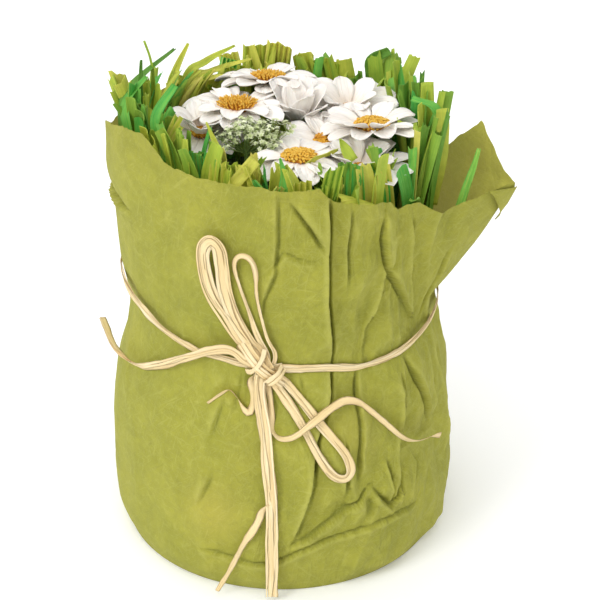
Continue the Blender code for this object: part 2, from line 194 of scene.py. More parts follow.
# %% The collector
class Gather:
    """Grids of points, gathered for one mesh."""

    def __init__(self):
        self.points, self.uvs, self.shades, self.faces = [], [], [], []
        self.count = 0

    def add_grid(self, points, uv, shade=0.5, closed=False):
        """points and uv are rows by columns. closed joins the last column to the first."""
        rows, columns = points.shape[:2]
        index = np.arange(rows * columns).reshape(rows, columns) + self.count
        right = np.roll(index, -1, axis=1) if closed else index[:, 1:]
        left = index if closed else index[:, :-1]
        quads = np.stack([left[:-1], right[:-1], right[1:], left[1:]], axis=-1).reshape(-1, 4)
        self.points.append(points.reshape(-1, 3))
        self.uvs.append(uv.reshape(-1, 2))
        self.shades.append(np.broadcast_to(shade, (rows, columns)).reshape(-1))
        self.faces.extend(quads.tolist())
        self.count += rows * columns
        return index

    def add_cap(self, ring, flip=False):
        self.faces.append(list(reversed(ring.tolist())) if flip else ring.tolist())

    def build(self, name, material, thickness=0.0, smooth=True):
        mesh = bpy.data.meshes.new(name)
        mesh.from_pydata((np.concatenate(self.points) * MM).tolist(), [], self.faces)
        corner = np.zeros(len(mesh.loops), np.int64)
        mesh.loops.foreach_get("vertex_index", corner)
        layer = mesh.uv_layers.new(name="UVMap")
        layer.data.foreach_set("uv", np.concatenate(self.uvs)[corner].astype(np.float32).ravel())
        shade = mesh.attributes.new("shade", "FLOAT", "POINT")
        shade.data.foreach_set("value", np.concatenate(self.shades).astype(np.float32))
        mesh.materials.append(material)
        if smooth:
            mesh.shade_smooth()
        mesh.update()
        piece = bpy.data.objects.new(name, mesh)
        bpy.context.scene.collection.objects.link(piece)
        if thickness:
            solid = piece.modifiers.new("thickness", "SOLIDIFY")
            solid.thickness = thickness * MM
            solid.offset = 0.0
        return piece


print("collector:", Gather.__doc__)

# %% [markdown]
# ## Shared material effects
# Two effects turn up in several finishes, and a third is long, so each is a node group, built once. Fibre
# streaks run along a strand, a strip or a petal. Cloudy dye is the slow change of colour that dyed things
# show. Tangled fibres are the long hairs laid in every direction through handmade paper.

# %% Node group helpers
def new_group(name, inputs, outputs):
    group = bpy.data.node_groups.new(name, "ShaderNodeTree")
    for socket_name, kind, value in inputs:
        socket = group.interface.new_socket(socket_name, in_out="INPUT", socket_type=kind)
        if value is not None:
            socket.default_value = value
    for socket_name, kind in outputs:
        group.interface.new_socket(socket_name, in_out="OUTPUT", socket_type=kind)
    return group, group.nodes.new("NodeGroupInput"), group.nodes.new("NodeGroupOutput")


def add_node(tree, kind, **settings):
    """A node, with its properties set by name and its inputs by socket name."""
    node = tree.nodes.new(kind)
    for key, value in settings.pop("sockets", {}).items():
        node.inputs[key].default_value = value
    for key, value in settings.items():
        setattr(node, key, value)
    return node


def math_node(tree, operation, a, b=None):
    node = tree.nodes.new("ShaderNodeMath")
    node.operation = operation
    for socket, value in zip(node.inputs, (a, b)):
        if isinstance(value, (int, float)):
            socket.default_value = value
        elif value is not None:
            tree.links.new(value, socket)
    return node.outputs[0]


def stretched(tree, vector, scale):
    """The coordinates, multiplied by a scale in each direction."""
    node = tree.nodes.new("ShaderNodeVectorMath")
    node.operation = "MULTIPLY"
    tree.links.new(vector, node.inputs[0])
    node.inputs[1].default_value = scale
    return node.outputs[0]


# %% [markdown]
# Fibre streaks are noise, drawn out along the strand by scaling one axis far less than the other. A finer
# copy of it serves the roughness and the relief.

# %% Fibre streaks
streaks_group, g_in, g_out = new_group(
    "fibre_streaks",
    [
        ("Vector", "NodeSocketVector", None), ("Across", "NodeSocketFloat", 3.0),
        ("Along", "NodeSocketFloat", 0.12),
    ],
    [("Streaks", "NodeSocketFloat"), ("Fine", "NodeSocketFloat")],
)
tree = streaks_group
scale_xyz = tree.nodes.new("ShaderNodeCombineXYZ")
tree.links.new(g_in.outputs["Across"], scale_xyz.inputs[0])
tree.links.new(g_in.outputs["Along"], scale_xyz.inputs[1])
scale_xyz.inputs[2].default_value = 1.0
scaled = tree.nodes.new("ShaderNodeVectorMath")
scaled.operation = "MULTIPLY"
tree.links.new(g_in.outputs["Vector"], scaled.inputs[0])
tree.links.new(scale_xyz.outputs[0], scaled.inputs[1])
for output, factor, detail in (("Streaks", 1.0, 3.0), ("Fine", 3.1, 5.0)):
    noise = add_node(
        tree, "ShaderNodeTexNoise", sockets={"Scale": factor, "Detail": detail, "Roughness": 0.6},
    )
    tree.links.new(scaled.outputs[0], noise.inputs["Vector"])
    tree.links.new(noise.outputs["Fac"], g_out.inputs[output])
print("group:", streaks_group.name)

# %% [markdown]
# Dye soaks in unevenly, so one soft noise at a large size blends a pale and a deep tone of the same colour.

# %% Cloudy dye
cloud_group, g_in, g_out = new_group(
    "cloudy_dye",
    [
        ("Vector", "NodeSocketVector", None), ("Scale", "NodeSocketFloat", 0.06),
        ("Pale", "NodeSocketColor", (1, 1, 1, 1)), ("Deep", "NodeSocketColor", (0, 0, 0, 1)),
    ],
    [("Color", "NodeSocketColor"), ("Cloud", "NodeSocketFloat")],
)
tree = cloud_group
noise = add_node(tree, "ShaderNodeTexNoise", sockets={"Detail": 6.0, "Roughness": 0.62, "Distortion": 0.4})
tree.links.new(g_in.outputs["Vector"], noise.inputs["Vector"])
tree.links.new(g_in.outputs["Scale"], noise.inputs["Scale"])
contrast = add_node(tree, "ShaderNodeMapRange", sockets={"From Min": 0.3, "From Max": 0.7})
tree.links.new(noise.outputs["Fac"], contrast.inputs["Value"])
mix = add_node(tree, "ShaderNodeMix", data_type="RGBA")
tree.links.new(contrast.outputs[0], mix.inputs["Factor"])
tree.links.new(g_in.outputs["Deep"], mix.inputs[6])
tree.links.new(g_in.outputs["Pale"], mix.inputs[7])
tree.links.new(mix.outputs[2], g_out.inputs["Color"])
tree.links.new(contrast.outputs[0], g_out.inputs["Cloud"])
print("group:", cloud_group.name)

# %% [markdown]
# The hairs in handmade paper lie in every direction. Thin lines of noise make them, and a fine grain fills
# the ground between them.

# %% Tangled fibres
tangle_group, g_in, g_out = new_group(
    "tangled_fibres",
    [("Vector", "NodeSocketVector", None), ("Scale", "NodeSocketFloat", 0.35)],
    [("Hairs", "NodeSocketFloat"), ("Grain", "NodeSocketFloat")],
)
tree = tangle_group
hairs = None
for turn_degrees, offset in ((12.0, 0.0), (48.0, 31.0), (95.0, 67.0), (140.0, 90.0)):
    turned = add_node(tree, "ShaderNodeMapping")
    turned.inputs["Rotation"].default_value = (0.0, 0.0, math.radians(turn_degrees))
    turned.inputs["Location"].default_value = (offset, offset, 0.0)
    tree.links.new(g_in.outputs["Vector"], turned.inputs["Vector"])
    long_way = stretched(tree, turned.outputs[0], (1.0, 0.09, 1.0))
    noise = add_node(tree, "ShaderNodeTexNoise", sockets={"Detail": 2.0, "Distortion": 0.9})
    tree.links.new(long_way, noise.inputs["Vector"])
    tree.links.new(g_in.outputs["Scale"], noise.inputs["Scale"])
    off_line = math_node(tree, "ABSOLUTE", math_node(tree, "SUBTRACT", noise.outputs["Fac"], 0.5))
    line = add_node(tree, "ShaderNodeMapRange", sockets={"From Min": 0.018, "From Max": 0.0})
    tree.links.new(off_line, line.inputs["Value"])
    hairs = line.outputs[0] if hairs is None else math_node(tree, "MAXIMUM", hairs, line.outputs[0])
tree.links.new(hairs, g_out.inputs["Hairs"])
grain = add_node(tree, "ShaderNodeTexNoise", sockets={"Scale": 2.2, "Detail": 6.0, "Roughness": 0.7})
tree.links.new(g_in.outputs["Vector"], grain.inputs["Vector"])
tree.links.new(grain.outputs["Fac"], g_out.inputs["Grain"])
print("group:", tangle_group.name)

# %% [markdown]
# Every finish starts from a Principled shader and the UV map in millimetres, so these helpers save writing
# the same nodes each time. They also read the shade of a piece, and vary the roughness with a pattern.

# %% Material helpers
def new_material(name, roughness=0.8):
    material = bpy.data.materials.new(name)
    material.use_nodes = True
    tree = material.node_tree
    shader = tree.nodes["Principled BSDF"]
    shader.inputs["Roughness"].default_value = roughness
    uv = tree.nodes.new("ShaderNodeUVMap")
    uv.uv_map = "UVMap"
    return material, tree, shader, uv.outputs[0]


def place_group(tree, group, vector, **values):
    node = tree.nodes.new("ShaderNodeGroup")
    node.node_tree = group
    tree.links.new(vector, node.inputs["Vector"])
    for key, value in values.items():
        node.inputs[key].default_value = value
    return node


def blend_colors(tree, factor, a, b, mode="MIX"):
    node = add_node(tree, "ShaderNodeMix", data_type="RGBA", blend_type=mode)
    for socket, value in zip((node.inputs["Factor"], node.inputs[6], node.inputs[7]), (factor, a, b)):
        if isinstance(value, (int, float, tuple)):
            socket.default_value = value
        else:
            tree.links.new(value, socket)
    return node.outputs[2]


def add_bump(tree, shader, height, distance, strength=1.0):
    bump = add_node(tree, "ShaderNodeBump", sockets={"Strength": strength, "Distance": distance})
    tree.links.new(height, bump.inputs["Height"])
    tree.links.new(bump.outputs[0], shader.inputs["Normal"])


def color_ramp(tree, factor, stops):
    ramp = tree.nodes.new("ShaderNodeValToRGB")
    elements = ramp.color_ramp.elements
    while len(elements) < len(stops):
        elements.new(0.5)
    for element, (place, color) in zip(elements, stops):
        element.position = place
        element.color = (*color, 1.0)
    tree.links.new(factor, ramp.inputs[0])
    return ramp.outputs[0]


def read_attribute(tree, name):
    return add_node(tree, "ShaderNodeAttribute", attribute_name=name).outputs["Fac"]


def varied_shade(tree, streaks, amount):
    """The piece's own shade, made uneven by the streaks."""
    around_zero = math_node(tree, "SUBTRACT", streaks.outputs["Streaks"], 0.5)
    streaked = math_node(tree, "MULTIPLY", around_zero, amount)
    return math_node(tree, "ADD", read_attribute(tree, "shade"), streaked)


def vary_roughness(tree, shader, pattern, low, high):
    spread = add_node(tree, "ShaderNodeMapRange", sockets={"To Min": low, "To Max": high})
    tree.links.new(pattern, spread.inputs["Value"])
    tree.links.new(spread.outputs[0], shader.inputs["Roughness"])


print("shared effects:", ", ".join(group.name for group in bpy.data.node_groups))

# %% [markdown]
# ## Raffia
# Raffia is peeled from a palm leaf: flat, cream, with fine lines along it and browner edges. A tie is
# several such ribbons side by side, never quite parallel. So each strand follows its route with a few thin
# ribbons that drift and turn a little. The free ends are cords of a known length and come first of all.

# %% The raffia finish
raffia, tree, shader, uv = new_material("raffia", 0.55)
streaks = place_group(tree, streaks_group, uv, Across=2.6, Along=0.035)
shade = read_attribute(tree, "shade")
tone = math_node(
    tree, "ADD", math_node(tree, "MULTIPLY", streaks.outputs["Streaks"], 0.75),
    math_node(tree, "MULTIPLY", shade, 0.35),
)
color = color_ramp(tree, tone, [
    (0.2, (0.56, 0.37, 0.15)), (0.36, (0.76, 0.56, 0.26)), (0.5, (0.88, 0.68, 0.35)),
    (0.74, (0.94, 0.79, 0.50)),
])
tree.links.new(color, shader.inputs["Base Color"])
vary_roughness(tree, shader, streaks.outputs["Fine"], 0.42, 0.7)
add_bump(tree, shader, math_node(tree, "ADD", streaks.outputs["Streaks"], streaks.outputs["Fine"]), 0.00022)
print("finish made:", raffia.name)

# %% [markdown]
# A strand's route is a short list of places on the paper: azimuth, height, and how far it
# stands off. A smooth curve through them gives the strand its swing, as dry raffia has between two bends.

# %% Routes of the strands, the same as in the model
STRANDS = {
    "raffia_band": [
        (-88.6, 106, 2.0), (-73, 105, 1.9), (-60, 102.5, 1.9), (-41, 102, 1.9), (-19, 104, 2.0),
        (5, 104.5, 2.1), (30, 105.5, 2.1), (60, 107.5, 2.1), (90, 110, 2.1), (120, 112.5, 2.1),
        (150, 115.5, 2.1), (175, 118, 2.1), (198, 119.5, 2.1), (212, 116.5, 2.0), (225, 112.5, 2.0),
        (240, 109, 1.9), (252, 107.6, 1.9), (257.9, 107, 2.0),
    ],
    "raffia_loop_upper": [
        (-98.2, 112.4, 2.8), (-103.5, 119, 2.2), (-108, 128, 1.9), (-113, 138, 1.9), (-115, 149, 2.2),
        (-114.6, 159, 2.8), (-111.5, 163.5, 3.2), (-108.6, 160.5, 3.0), (-107.8, 152, 2.4),
        (-107.2, 141, 2.0), (-104.5, 129, 2.0), (-99.6, 118, 2.4), (-97.3, 114.8, 2.8),
    ],
    "raffia_loop_thin": [
        (-94.6, 112.6, 2.4), (-97.6, 121, 1.6), (-101.5, 138, 1.5), (-104.2, 152, 1.9), (-102.6, 157.5, 2.4),
        (-99.4, 157, 2.4), (-97.6, 151, 1.8), (-97.3, 138, 1.5), (-94.6, 121, 1.6), (-91.8, 112.6, 2.4),
    ],
    "raffia_loop_lower": [
        (-91.0, 99.0, 2.8), (-87.8, 93, 2.4), (-84.5, 86, 2.0), (-81.5, 78.5, 1.9), (-76.8, 66, 1.9),
        (-73.2, 59, 2.2), (-69.6, 57, 2.6), (-67.3, 60, 2.4), (-68.5, 67, 1.9), (-73.2, 76, 1.9),
        (-77.4, 83.5, 2.0), (-80.8, 89.5, 2.2), (-84.6, 95.5, 2.5), (-88.0, 100.6, 3.0),
    ],
    "raffia_tail_left": [
        (-102.0, 110.6, 4.9), (-104.6, 113.6, 5.0), (-108, 114.8, 5.1), (-113.7, 112.6, 5.3),
        (-119, 109.2, 5.4), (-124.5, 105.3, 5.1), (-130, 101, 4.0), (-136, 96.6, 2.8), (-145, 91, 2.0),
        (-153, 88, 2.0), (-161, 86.5, 2.6), (-168, 86.5, 4.2), (-174, 88.5, 6.6), (-179, 92, 9.6),
    ],
    "raffia_tail_down": [
        (-97.0, 98.8, 2.6), (-96.6, 92, 2.2), (-95.6, 84, 2.2), (-94.8, 76, 2.0), (-93.8, 63, 2.0),
        (-92.9, 50, 2.0), (-92.7, 36, 2.0), (-92.6, 22, 2.2), (-92.7, 10, 3.4), (-92.8, 2.4, 6.6),
    ],
    "raffia_tail_side": [
        (-95.6, 44.5, 2.0), (-97.0, 39, 1.6), (-99.0, 33.5, 1.6), (-101.4, 28, 1.7), (-104.2, 20, 2.2),
        (-106.9, 12, 3.2), (-110.0, 3.4, 7.6),
    ],
    "raffia_curl_left": [
        (-100.0, 100.0, 1.2), (-99.7, 94, 1.1), (-99.7, 89, 1.1), (-100.7, 86.6, 1.2), (-102.4, 88.4, 1.4),
        (-104.4, 92.2, 1.6), (-107.5, 95.2, 1.6), (-111, 92.5, 1.4), (-115.3, 87.8, 1.6),
    ],
    "raffia_curl_right": [
        (-94.0, 98.8, 1.2), (-93.4, 92, 1.0), (-92.9, 84, 1.0), (-92.2, 79, 1.1), (-90, 76.8, 1.8),
        (-86.7, 77.8, 3.6), (-83.9, 80, 4.6), (-81.2, 82.8, 5.0), (-78, 85.4, 4.8), (-74.6, 87.9, 4.2),
        (-71, 89.6, 3.6), (-67.3, 90.2, 3.2), (-62.5, 87.6, 3.2), (-56.8, 80, 3.2), (-49.7, 69.2, 3.2),
        (-45.4, 64.2, 3.2), (-41.5, 61.6, 3.2), (-38, 60.6, 3.4), (-33, 59.2, 3.6), (-29, 56.6, 3.8),
    ],
}


def smooth_path(points, spacing):
    """A Catmull-Rom curve through the points, read at even steps of about the given spacing."""
    points = np.array(points, float)
    padded = np.vstack([2 * points[0] - points[1], points, 2 * points[-1] - points[-2]])
    dense = []
    for p0, p1, p2, p3 in zip(padded, padded[1:], padded[2:], padded[3:]):
        t = np.linspace(0.0, 1.0, 16, endpoint=False)[:, None]
        dense.append(0.5 * (2 * p1 + (p2 - p0) * t + (2 * p0 - 5 * p1 + 4 * p2 - p3) * t ** 2
                            + (3 * p1 - p0 - 3 * p2 + p3) * t ** 3))
    dense = np.vstack(dense + [points[-1:]])
    along = np.concatenate([[0.0], np.cumsum(np.linalg.norm(np.diff(dense, axis=0), axis=1))])
    at = np.linspace(0.0, along[-1], max(4, round(along[-1] / spacing)) + 1)
    return np.stack([np.interp(at, along, dense[:, k]) for k in range(3)], axis=1), along[-1]


# Where the strands that end at the knot run on into it, as (azimuth, height, stand-off).
INTO_KNOT = {
    "raffia_band": ([(-93.5, 107.4, 3.2)], [(264.0, 107.2, 3.2)]),
    "raffia_loop_upper": ([(-94.5, 107.2, 5.6)], [(-93.4, 107.6, 6.2)]),
    "raffia_loop_thin": ([(-94.4, 106.8, 5.2)], [(-92.8, 107.0, 5.0)]),
    "raffia_loop_lower": ([(-94.2, 105.6, 5.4)], [(-92.4, 106.6, 5.8)]),
    "raffia_tail_left": ([(-97.5, 107.4, 4.8)], []),
    "raffia_tail_down": ([(-96.2, 105.0, 4.6)], []),
    "raffia_curl_left": ([(-98.0, 104.6, 3.4)], []),
    "raffia_curl_right": ([(-94.2, 104.2, 3.4)], []),
    "raffia_tail_side": ([(-93.4, 48.0, 2.6)], []),
}


def route_path(name, spacing):
    """The strand's route as points in millimetres, led on into the knot, and its length."""
    before, after = INTO_KNOT.get(name, ([], []))
    route = before + STRANDS[name] + after
    return smooth_path([polar(paper_radius(a, h) + s, a, h) for a, h, s in route], spacing)


for name in STRANDS:
    print(name, "is", round(route_path(name, 1.0)[1]), "mm long")

# %% [markdown]
# A ribbon is a thin lens in section, swept along the route. Its flat side faces away from the paper, so the
# frame at each point is the direction of travel, the outward direction, and the one across.

# %% Directions along a route
def unit(vectors):
    return vectors / np.maximum(np.linalg.norm(vectors, axis=-1, keepdims=True), 1e-9)


def route_frames(path):
    travel = unit(np.gradient(path, axis=0))
    outward = path * np.array([1.0, 1.0, 0.0])
    outward = unit(outward - travel * np.sum(outward * travel, axis=1, keepdims=True))
    return travel, outward, np.cross(travel, outward)


def turned_pair(side, outward, angle):
    """Both directions, turned together about the direction of travel."""
    cos, sin = np.cos(angle)[:, None], np.sin(angle)[:, None]
    return side * cos + outward * sin, outward * cos - side * sin


# %% [markdown]
# Dry raffia is never quite regular. Along its route a ribbon changes in width, drifts from side to side,
# twists a little to and fro and curls into a shallow channel, each with a slow noise of its own.

# %% Lay one ribbon along a route
SECTION = [
    (-1.0, 0.0), (-0.55, 0.8), (0.0, 1.0), (0.55, 0.8), (1.0, 0.0), (0.55, -0.8), (0.0, -1.0), (-0.55, -0.8),
]
END_TURNS = {"raffia_tail_left": 80.0}


def lay_ribbon(
    gather, path, width, across=0.0, lift=0.0, seed=0.0, drift=0.35, turn=14.0, thick=0.12, tips=(1, 1),
    weave=0.0, end_turn=0.0,
):
    """Sweep a flat ribbon, shifted off the route by across and lift.

    turn is how far it twists to and fro and end_turn how far it has turned by its end, in degrees. tips are
    the shares of the width at both ends, and weave makes it cross its neighbours.
    """
    _, outward, side = route_frames(path)
    length = np.linalg.norm(np.diff(path, axis=0), axis=1).sum()
    t = np.linspace(0.0, 1.0, len(path))
    s = t * length
    wide = width / 2 * (1 + 0.28 * soft_noise(s / 8.0, seed, 3.0) + 0.1 * soft_noise(s / 2.5, seed, 4.0))
    start_share = tips[0] + (1 - tips[0]) * np.clip(s / 12.0, 0, 1)
    end_share = tips[1] + (1 - tips[1]) * np.clip((length - s) / 12.0, 0, 1)
    wide = wide * start_share * end_share
    swing = np.cos(s / 26.0 + seed * 1.9) if weave else 0.0
    shift = across * (1 - weave + weave * swing) + drift * soft_noise(s / 13.0, seed, 11.0)
    rise = lift + 0.2 * drift * soft_noise(s / 11.0, seed, 17.0)
    turned_by_now = np.radians(end_turn) * np.clip((s / length - 0.5) / 0.35, 0, 1)
    side, outward = turned_pair(side, outward, turned_by_now)
    flat, up = turned_pair(side, outward, np.radians(turn) * soft_noise(s / 14.0, seed, 23.0))
    centre = path + side * shift[:, None] + outward * rise[:, None]
    section = np.array(SECTION)
    curl = 0.13 * width * soft_noise(s / 12.0, seed, 29.0)
    channel = curl[:, None] * (section[None, :, 0] ** 2 - 0.4)
    sideways = wide[:, None] * section[None, :, 0]
    points = (
        centre[:, None] + flat[:, None] * sideways[..., None]
        + up[:, None] * (thick / 2 * section[None, :, 1] + channel)[..., None]
    )
    uv = np.stack(np.broadcast_arrays(sideways + seed * 13.0, s[:, None] + seed * 50.0), axis=-1)
    pale = 0.5 + 0.5 * soft_noise(seed * 3.7, 0.5, 5.0)
    browner_edge = 0.15 * (np.abs(section[None, :, 0]) > 0.9)
    shade = pale - browner_edge + 0.25 * soft_noise(s / 10.0, seed, 31.0)[:, None]
    index = gather.add_grid(points, uv, shade, closed=True)
    gather.add_cap(index[0])
    gather.add_cap(index[-1], flip=True)


# %% [markdown]
# A strand of the tie is a few ribbons on one route. Its name in the model is the key to the route.

# %% Build one strand
def raffia_piece(name, ribbons, spacing=1.0):
    """One strand of the tie. Its ribbons are each (width, across, lift, turn, weave, tips)."""
    gather = Gather()
    path, _ = route_path(name, spacing)
    for i, (width, across, lift, turn, weave, *tips) in enumerate(ribbons):
        lay_ribbon(
            gather, path, width, across, lift, seed=i + len(name) * 0.37, turn=turn, weave=weave,
            tips=tips or (1, 1), end_turn=END_TURNS.get(name, 0.0),
        )
    piece = gather.build(name + "_ribbons", raffia)
    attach(piece, "root")
    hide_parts(name)
    return piece, path


# %% [markdown]
# Five strands hang free from the knot. Each has its own length, which is printed. Some of their ribbons get
# narrower towards the tip.

# %% The free ends, each a cord of its own length
CORDS = {
    # name: (overall width, stiffness, ribbons)
    "raffia_tail_left": (4.0, "stiff", [
        (2.6, -0.7, 0.0, 26.0, 0.6), (2.4, 0.8, 0.3, 22.0, 0.4), (1.0, 0.2, 0.6, 10.0, 0.3),
    ]),
    "raffia_tail_down": (5.0, "medium", [
        (2.7, -1.1, 0.0, 12.0, 0.2), (2.4, 1.0, 0.25, 14.0, 0.3), (1.1, 2.3, 0.5, 10.0, 0.2, 1, 0.4),
        (1.0, -2.2, 0.3, 10.0, 0.2, 1, 0.4),
    ]),
    "raffia_tail_side": (2.8, "medium", [(2.8, 0.0, 0.0, 40.0, 0.0, 1, 0.5)]),
    "raffia_curl_left": (2.6, "stiff", [(2.9, 0.0, 0.0, 75.0, 0.0, 1, 0.5)]),
    "raffia_curl_right": (2.4, "stiff", [(2.9, 0.0, 0.0, 95.0, 0.0, 0.6, 0.8)]),
}
for name, (overall, stiffness, ribbons) in CORDS.items():
    piece, path = raffia_piece(name, ribbons)
    length = np.linalg.norm(np.diff(path, axis=0), axis=1).sum()
    print(piece.name, "cord of", round(length), "mm")

# %% [markdown]
# The band and the loops are held at both ends, so they aren't free cords. More ribbons lie side by side in
# them, and they cross each other slowly.

# %% The band round the waist and the bow's loops
TIED = {
    "raffia_band": [
        (2.3, -1.3, 0.0, 14.0, 0.5), (2.5, 0.4, 0.3, 20.0, 0.3), (1.3, 1.7, 0.1, 14.0, 0.6),
        (0.9, -0.3, 0.6, 10.0, 1.0),
    ],
    "raffia_loop_upper": [
        (2.8, -0.5, 0.0, 30.0, 0.3), (2.6, 1.1, 0.35, 30.0, 0.3), (2.2, 2.7, 0.1, 20.0, 0.1),
        (0.9, -2.2, 0.2, 10.0, 0.1),
    ],
    "raffia_loop_thin": [(1.8, 0.0, 0.0, 50.0, 0.0), (0.8, 0.8, 0.2, 10.0, 0.6)],
    "raffia_loop_lower": [
        (2.7, -0.5, 0.0, 30.0, 0.3), (2.0, 1.0, 0.35, 30.0, 0.3), (0.9, -1.7, 0.2, 10.0, 0.3),
    ],
}
for name, ribbons in TIED.items():
    raffia_piece(name, ribbons, 0.8)
print("band and loops laid")

# %% [markdown]
# The bow is tied as a slip knot. The upper loops' strands cross over the band, down to the right, and go
# on as the lower loop, so the knot is mostly this slanting sheaf. One short strand is wound round its
# lower end, and round the band where it starts, and holds everything together.

# %% Tie the knot
def on_paper(route, spacing=0.6):
    return smooth_path([polar(paper_radius(a, h) + s, a, h) for a, h, s in route], spacing)[0]


CROSSING = [
    (-103.4, 117.0, 2.6), (-100.4, 113.2, 5.0), (-97.4, 109.8, 6.6), (-94.4, 106.6, 7.0), (-91.6, 103.2, 5.6),
    (-89.2, 99.4, 3.2),
]
SHEAF = [(2.6, -2.1, -0.5), (2.8, -0.3, 0.0), (2.4, 1.6, -0.3), (1.2, 0.6, 0.35), (1.0, 2.8, -0.6)]
WINDINGS = [
    ([(-94.6, 101.2, 3.4), (-94.2, 102.8, 7.2), (-92.6, 105.0, 8.4),
      (-90.4, 106.8, 7.2), (-89.2, 107.8, 3.6)], 2.0),
    ([(-93.6, 99.8, 3.4), (-93.2, 101.4, 6.8), (-91.6, 103.4, 8.0),
      (-89.6, 105.4, 6.8), (-88.2, 106.6, 3.6)], 1.6),
    ([(-101.6, 104.2, 2.6), (-99.6, 105.8, 5.2), (-97.4, 108.8, 7.2),
      (-95.6, 112.6, 6.2), (-95.0, 115.4, 3.2)], 2.6),
    ([(-99.8, 109.6, 3.4), (-97.6, 106.8, 5.4), (-95.4, 106.4, 6.0),
      (-92.0, 107.6, 4.6), (-89.4, 107.2, 3.0)], 3.0),
]
gather = Gather()
crossing = on_paper(CROSSING)
for i, (width, across, lift) in enumerate(SHEAF):
    lay_ribbon(
        gather, crossing, width, across, lift, seed=40.0 + i, drift=0.3, turn=16.0, thick=0.3, weave=0.15,
    )
for i, (route, width) in enumerate(WINDINGS):
    lay_ribbon(gather, on_paper(route), width, seed=50.0 + i, drift=0.15, turn=10.0, thick=0.3)
knot = gather.build("raffia_knot_turns", raffia)
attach(knot, "root")
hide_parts("raffia_knot")
print("knot tied with", len(WINDINGS), "windings")

# %% [markdown]
# ## The wrapping paper
# The sheet is handmade mulberry paper: soft, matt, full of hairs, dyed unevenly. It is one sheet about
# half a metre long, wrapped round and turned under the foot. It could be made by cloth simulation, but the
# places of the creases matter here, so the sheet is drawn as a fine grid on the wrapped shape and each
# crease is pressed into it: a ridge with a soft side and a sharp side, as folded paper has.

# %% The paper's finish
paper, tree, shader, uv = new_material("wrapping_paper", 0.85)
clouds = place_group(
    tree, cloud_group, uv, Scale=0.045, Pale=(0.405, 0.392, 0.045, 1), Deep=(0.298, 0.300, 0.028, 1),
)
patches = place_group(tree, cloud_group, uv, Scale=0.25, Pale=(1, 1, 1, 1), Deep=(0.86, 0.87, 0.84, 1))
fibres = place_group(tree, tangle_group, uv, Scale=0.5)
color = blend_colors(tree, 1.0, clouds.outputs["Color"], patches.outputs["Color"], "MULTIPLY")
stain = read_attribute(tree, "shade")
color = blend_colors(tree, stain, color, (0.52, 0.44, 0.07, 1.0))
# Painted shade: the paper is darkened where it lies below its surroundings, in the hollows of the creases.
painted_fold_shade = add_node(tree, "ShaderNodeMapRange", sockets={"From Min": 0.2, "From Max": 1.0, "To Max": 0.42})
tree.links.new(read_attribute(tree, "fold"), painted_fold_shade.inputs["Value"])
color = blend_colors(tree, painted_fold_shade.outputs[0], color, (0.13, 0.15, 0.012, 1.0))
# Painted highlight: the ridges, which stand above their surroundings, are made paler.
painted_ridge_highlight = add_node(tree, "ShaderNodeMapRange", sockets={"From Min": -0.15, "From Max": -1.0, "To Max": 0.3})
tree.links.new(read_attribute(tree, "fold"), painted_ridge_highlight.inputs["Value"])
color = blend_colors(tree, painted_ridge_highlight.outputs[0], color, (0.56, 0.55, 0.13, 1.0))
hair_share = math_node(tree, "MULTIPLY", fibres.outputs["Hairs"], 0.16)
color = blend_colors(tree, hair_share, color, (0.62, 0.60, 0.20, 1.0))
tree.links.new(color, shader.inputs["Base Color"])
# Painted light: the inner side, the back faces, glows a little by emission, as thin paper lets light through.
inner_side = tree.nodes.new("ShaderNodeNewGeometry").outputs["Backfacing"]
painted_glow = blend_colors(tree, inner_side, (0.0, 0.0, 0.0, 1.0), (0.14, 0.12, 0.03, 1.0))
tree.links.new(painted_glow, shader.inputs["Emission Color"])
shader.inputs["Emission Strength"].default_value = 1.0
vary_roughness(tree, shader, fibres.outputs["Grain"], 0.74, 0.95)
raised_hairs = math_node(tree, "MULTIPLY", fibres.outputs["Hairs"], 0.35)
height = math_node(tree, "ADD", raised_hairs, fibres.outputs["Grain"])
crinkle = add_node(
    tree, "ShaderNodeTexNoise", sockets={"Scale": 0.085, "Detail": 3.0, "Roughness": 0.55, "Distortion": 0.6},
)
tree.links.new(stretched(tree, uv, (1.0, 0.55, 1.0)), crinkle.inputs["Vector"])
CRINKLE_DEPTH = -22.0   # how deep the crinkles are, against the height of the fibres
crinkled = math_node(tree, "MULTIPLY", read_attribute(tree, "busy"), CRINKLE_DEPTH)
facets = math_node(tree, "ABSOLUTE", math_node(tree, "SUBTRACT", crinkle.outputs["Fac"], 0.5))
facets = math_node(tree, "MULTIPLY", facets, crinkled)
add_bump(tree, shader, math_node(tree, "ADD", height, facets), 0.00028, 0.85)
print("finish made:", paper.name)

# %% [markdown]
# The rim is not level: the paper was cut by eye. It is high at the left, lower at the front right, and
# rises to a point behind the loose corner's fold.

# %% The rim line and the creases
RIM_LINE = [
    (-180, 182), (-170, 188), (-156, 194), (-140, 197.5), (-131, 189), (-129, 188), (-105, 187), (-89, 185),
    (-77, 185), (-72, 179), (-64, 176), (-50, 172), (-46, 167), (-43, 168), (-38, 167), (-28, 158),
    (-24, 160), (-9, 162), (-3, 169), (3, 180), (24, 150), (36, 158), (50, 167), (80, 173), (110, 174),
    (150, 175), (172, 177), (180, 182),
]
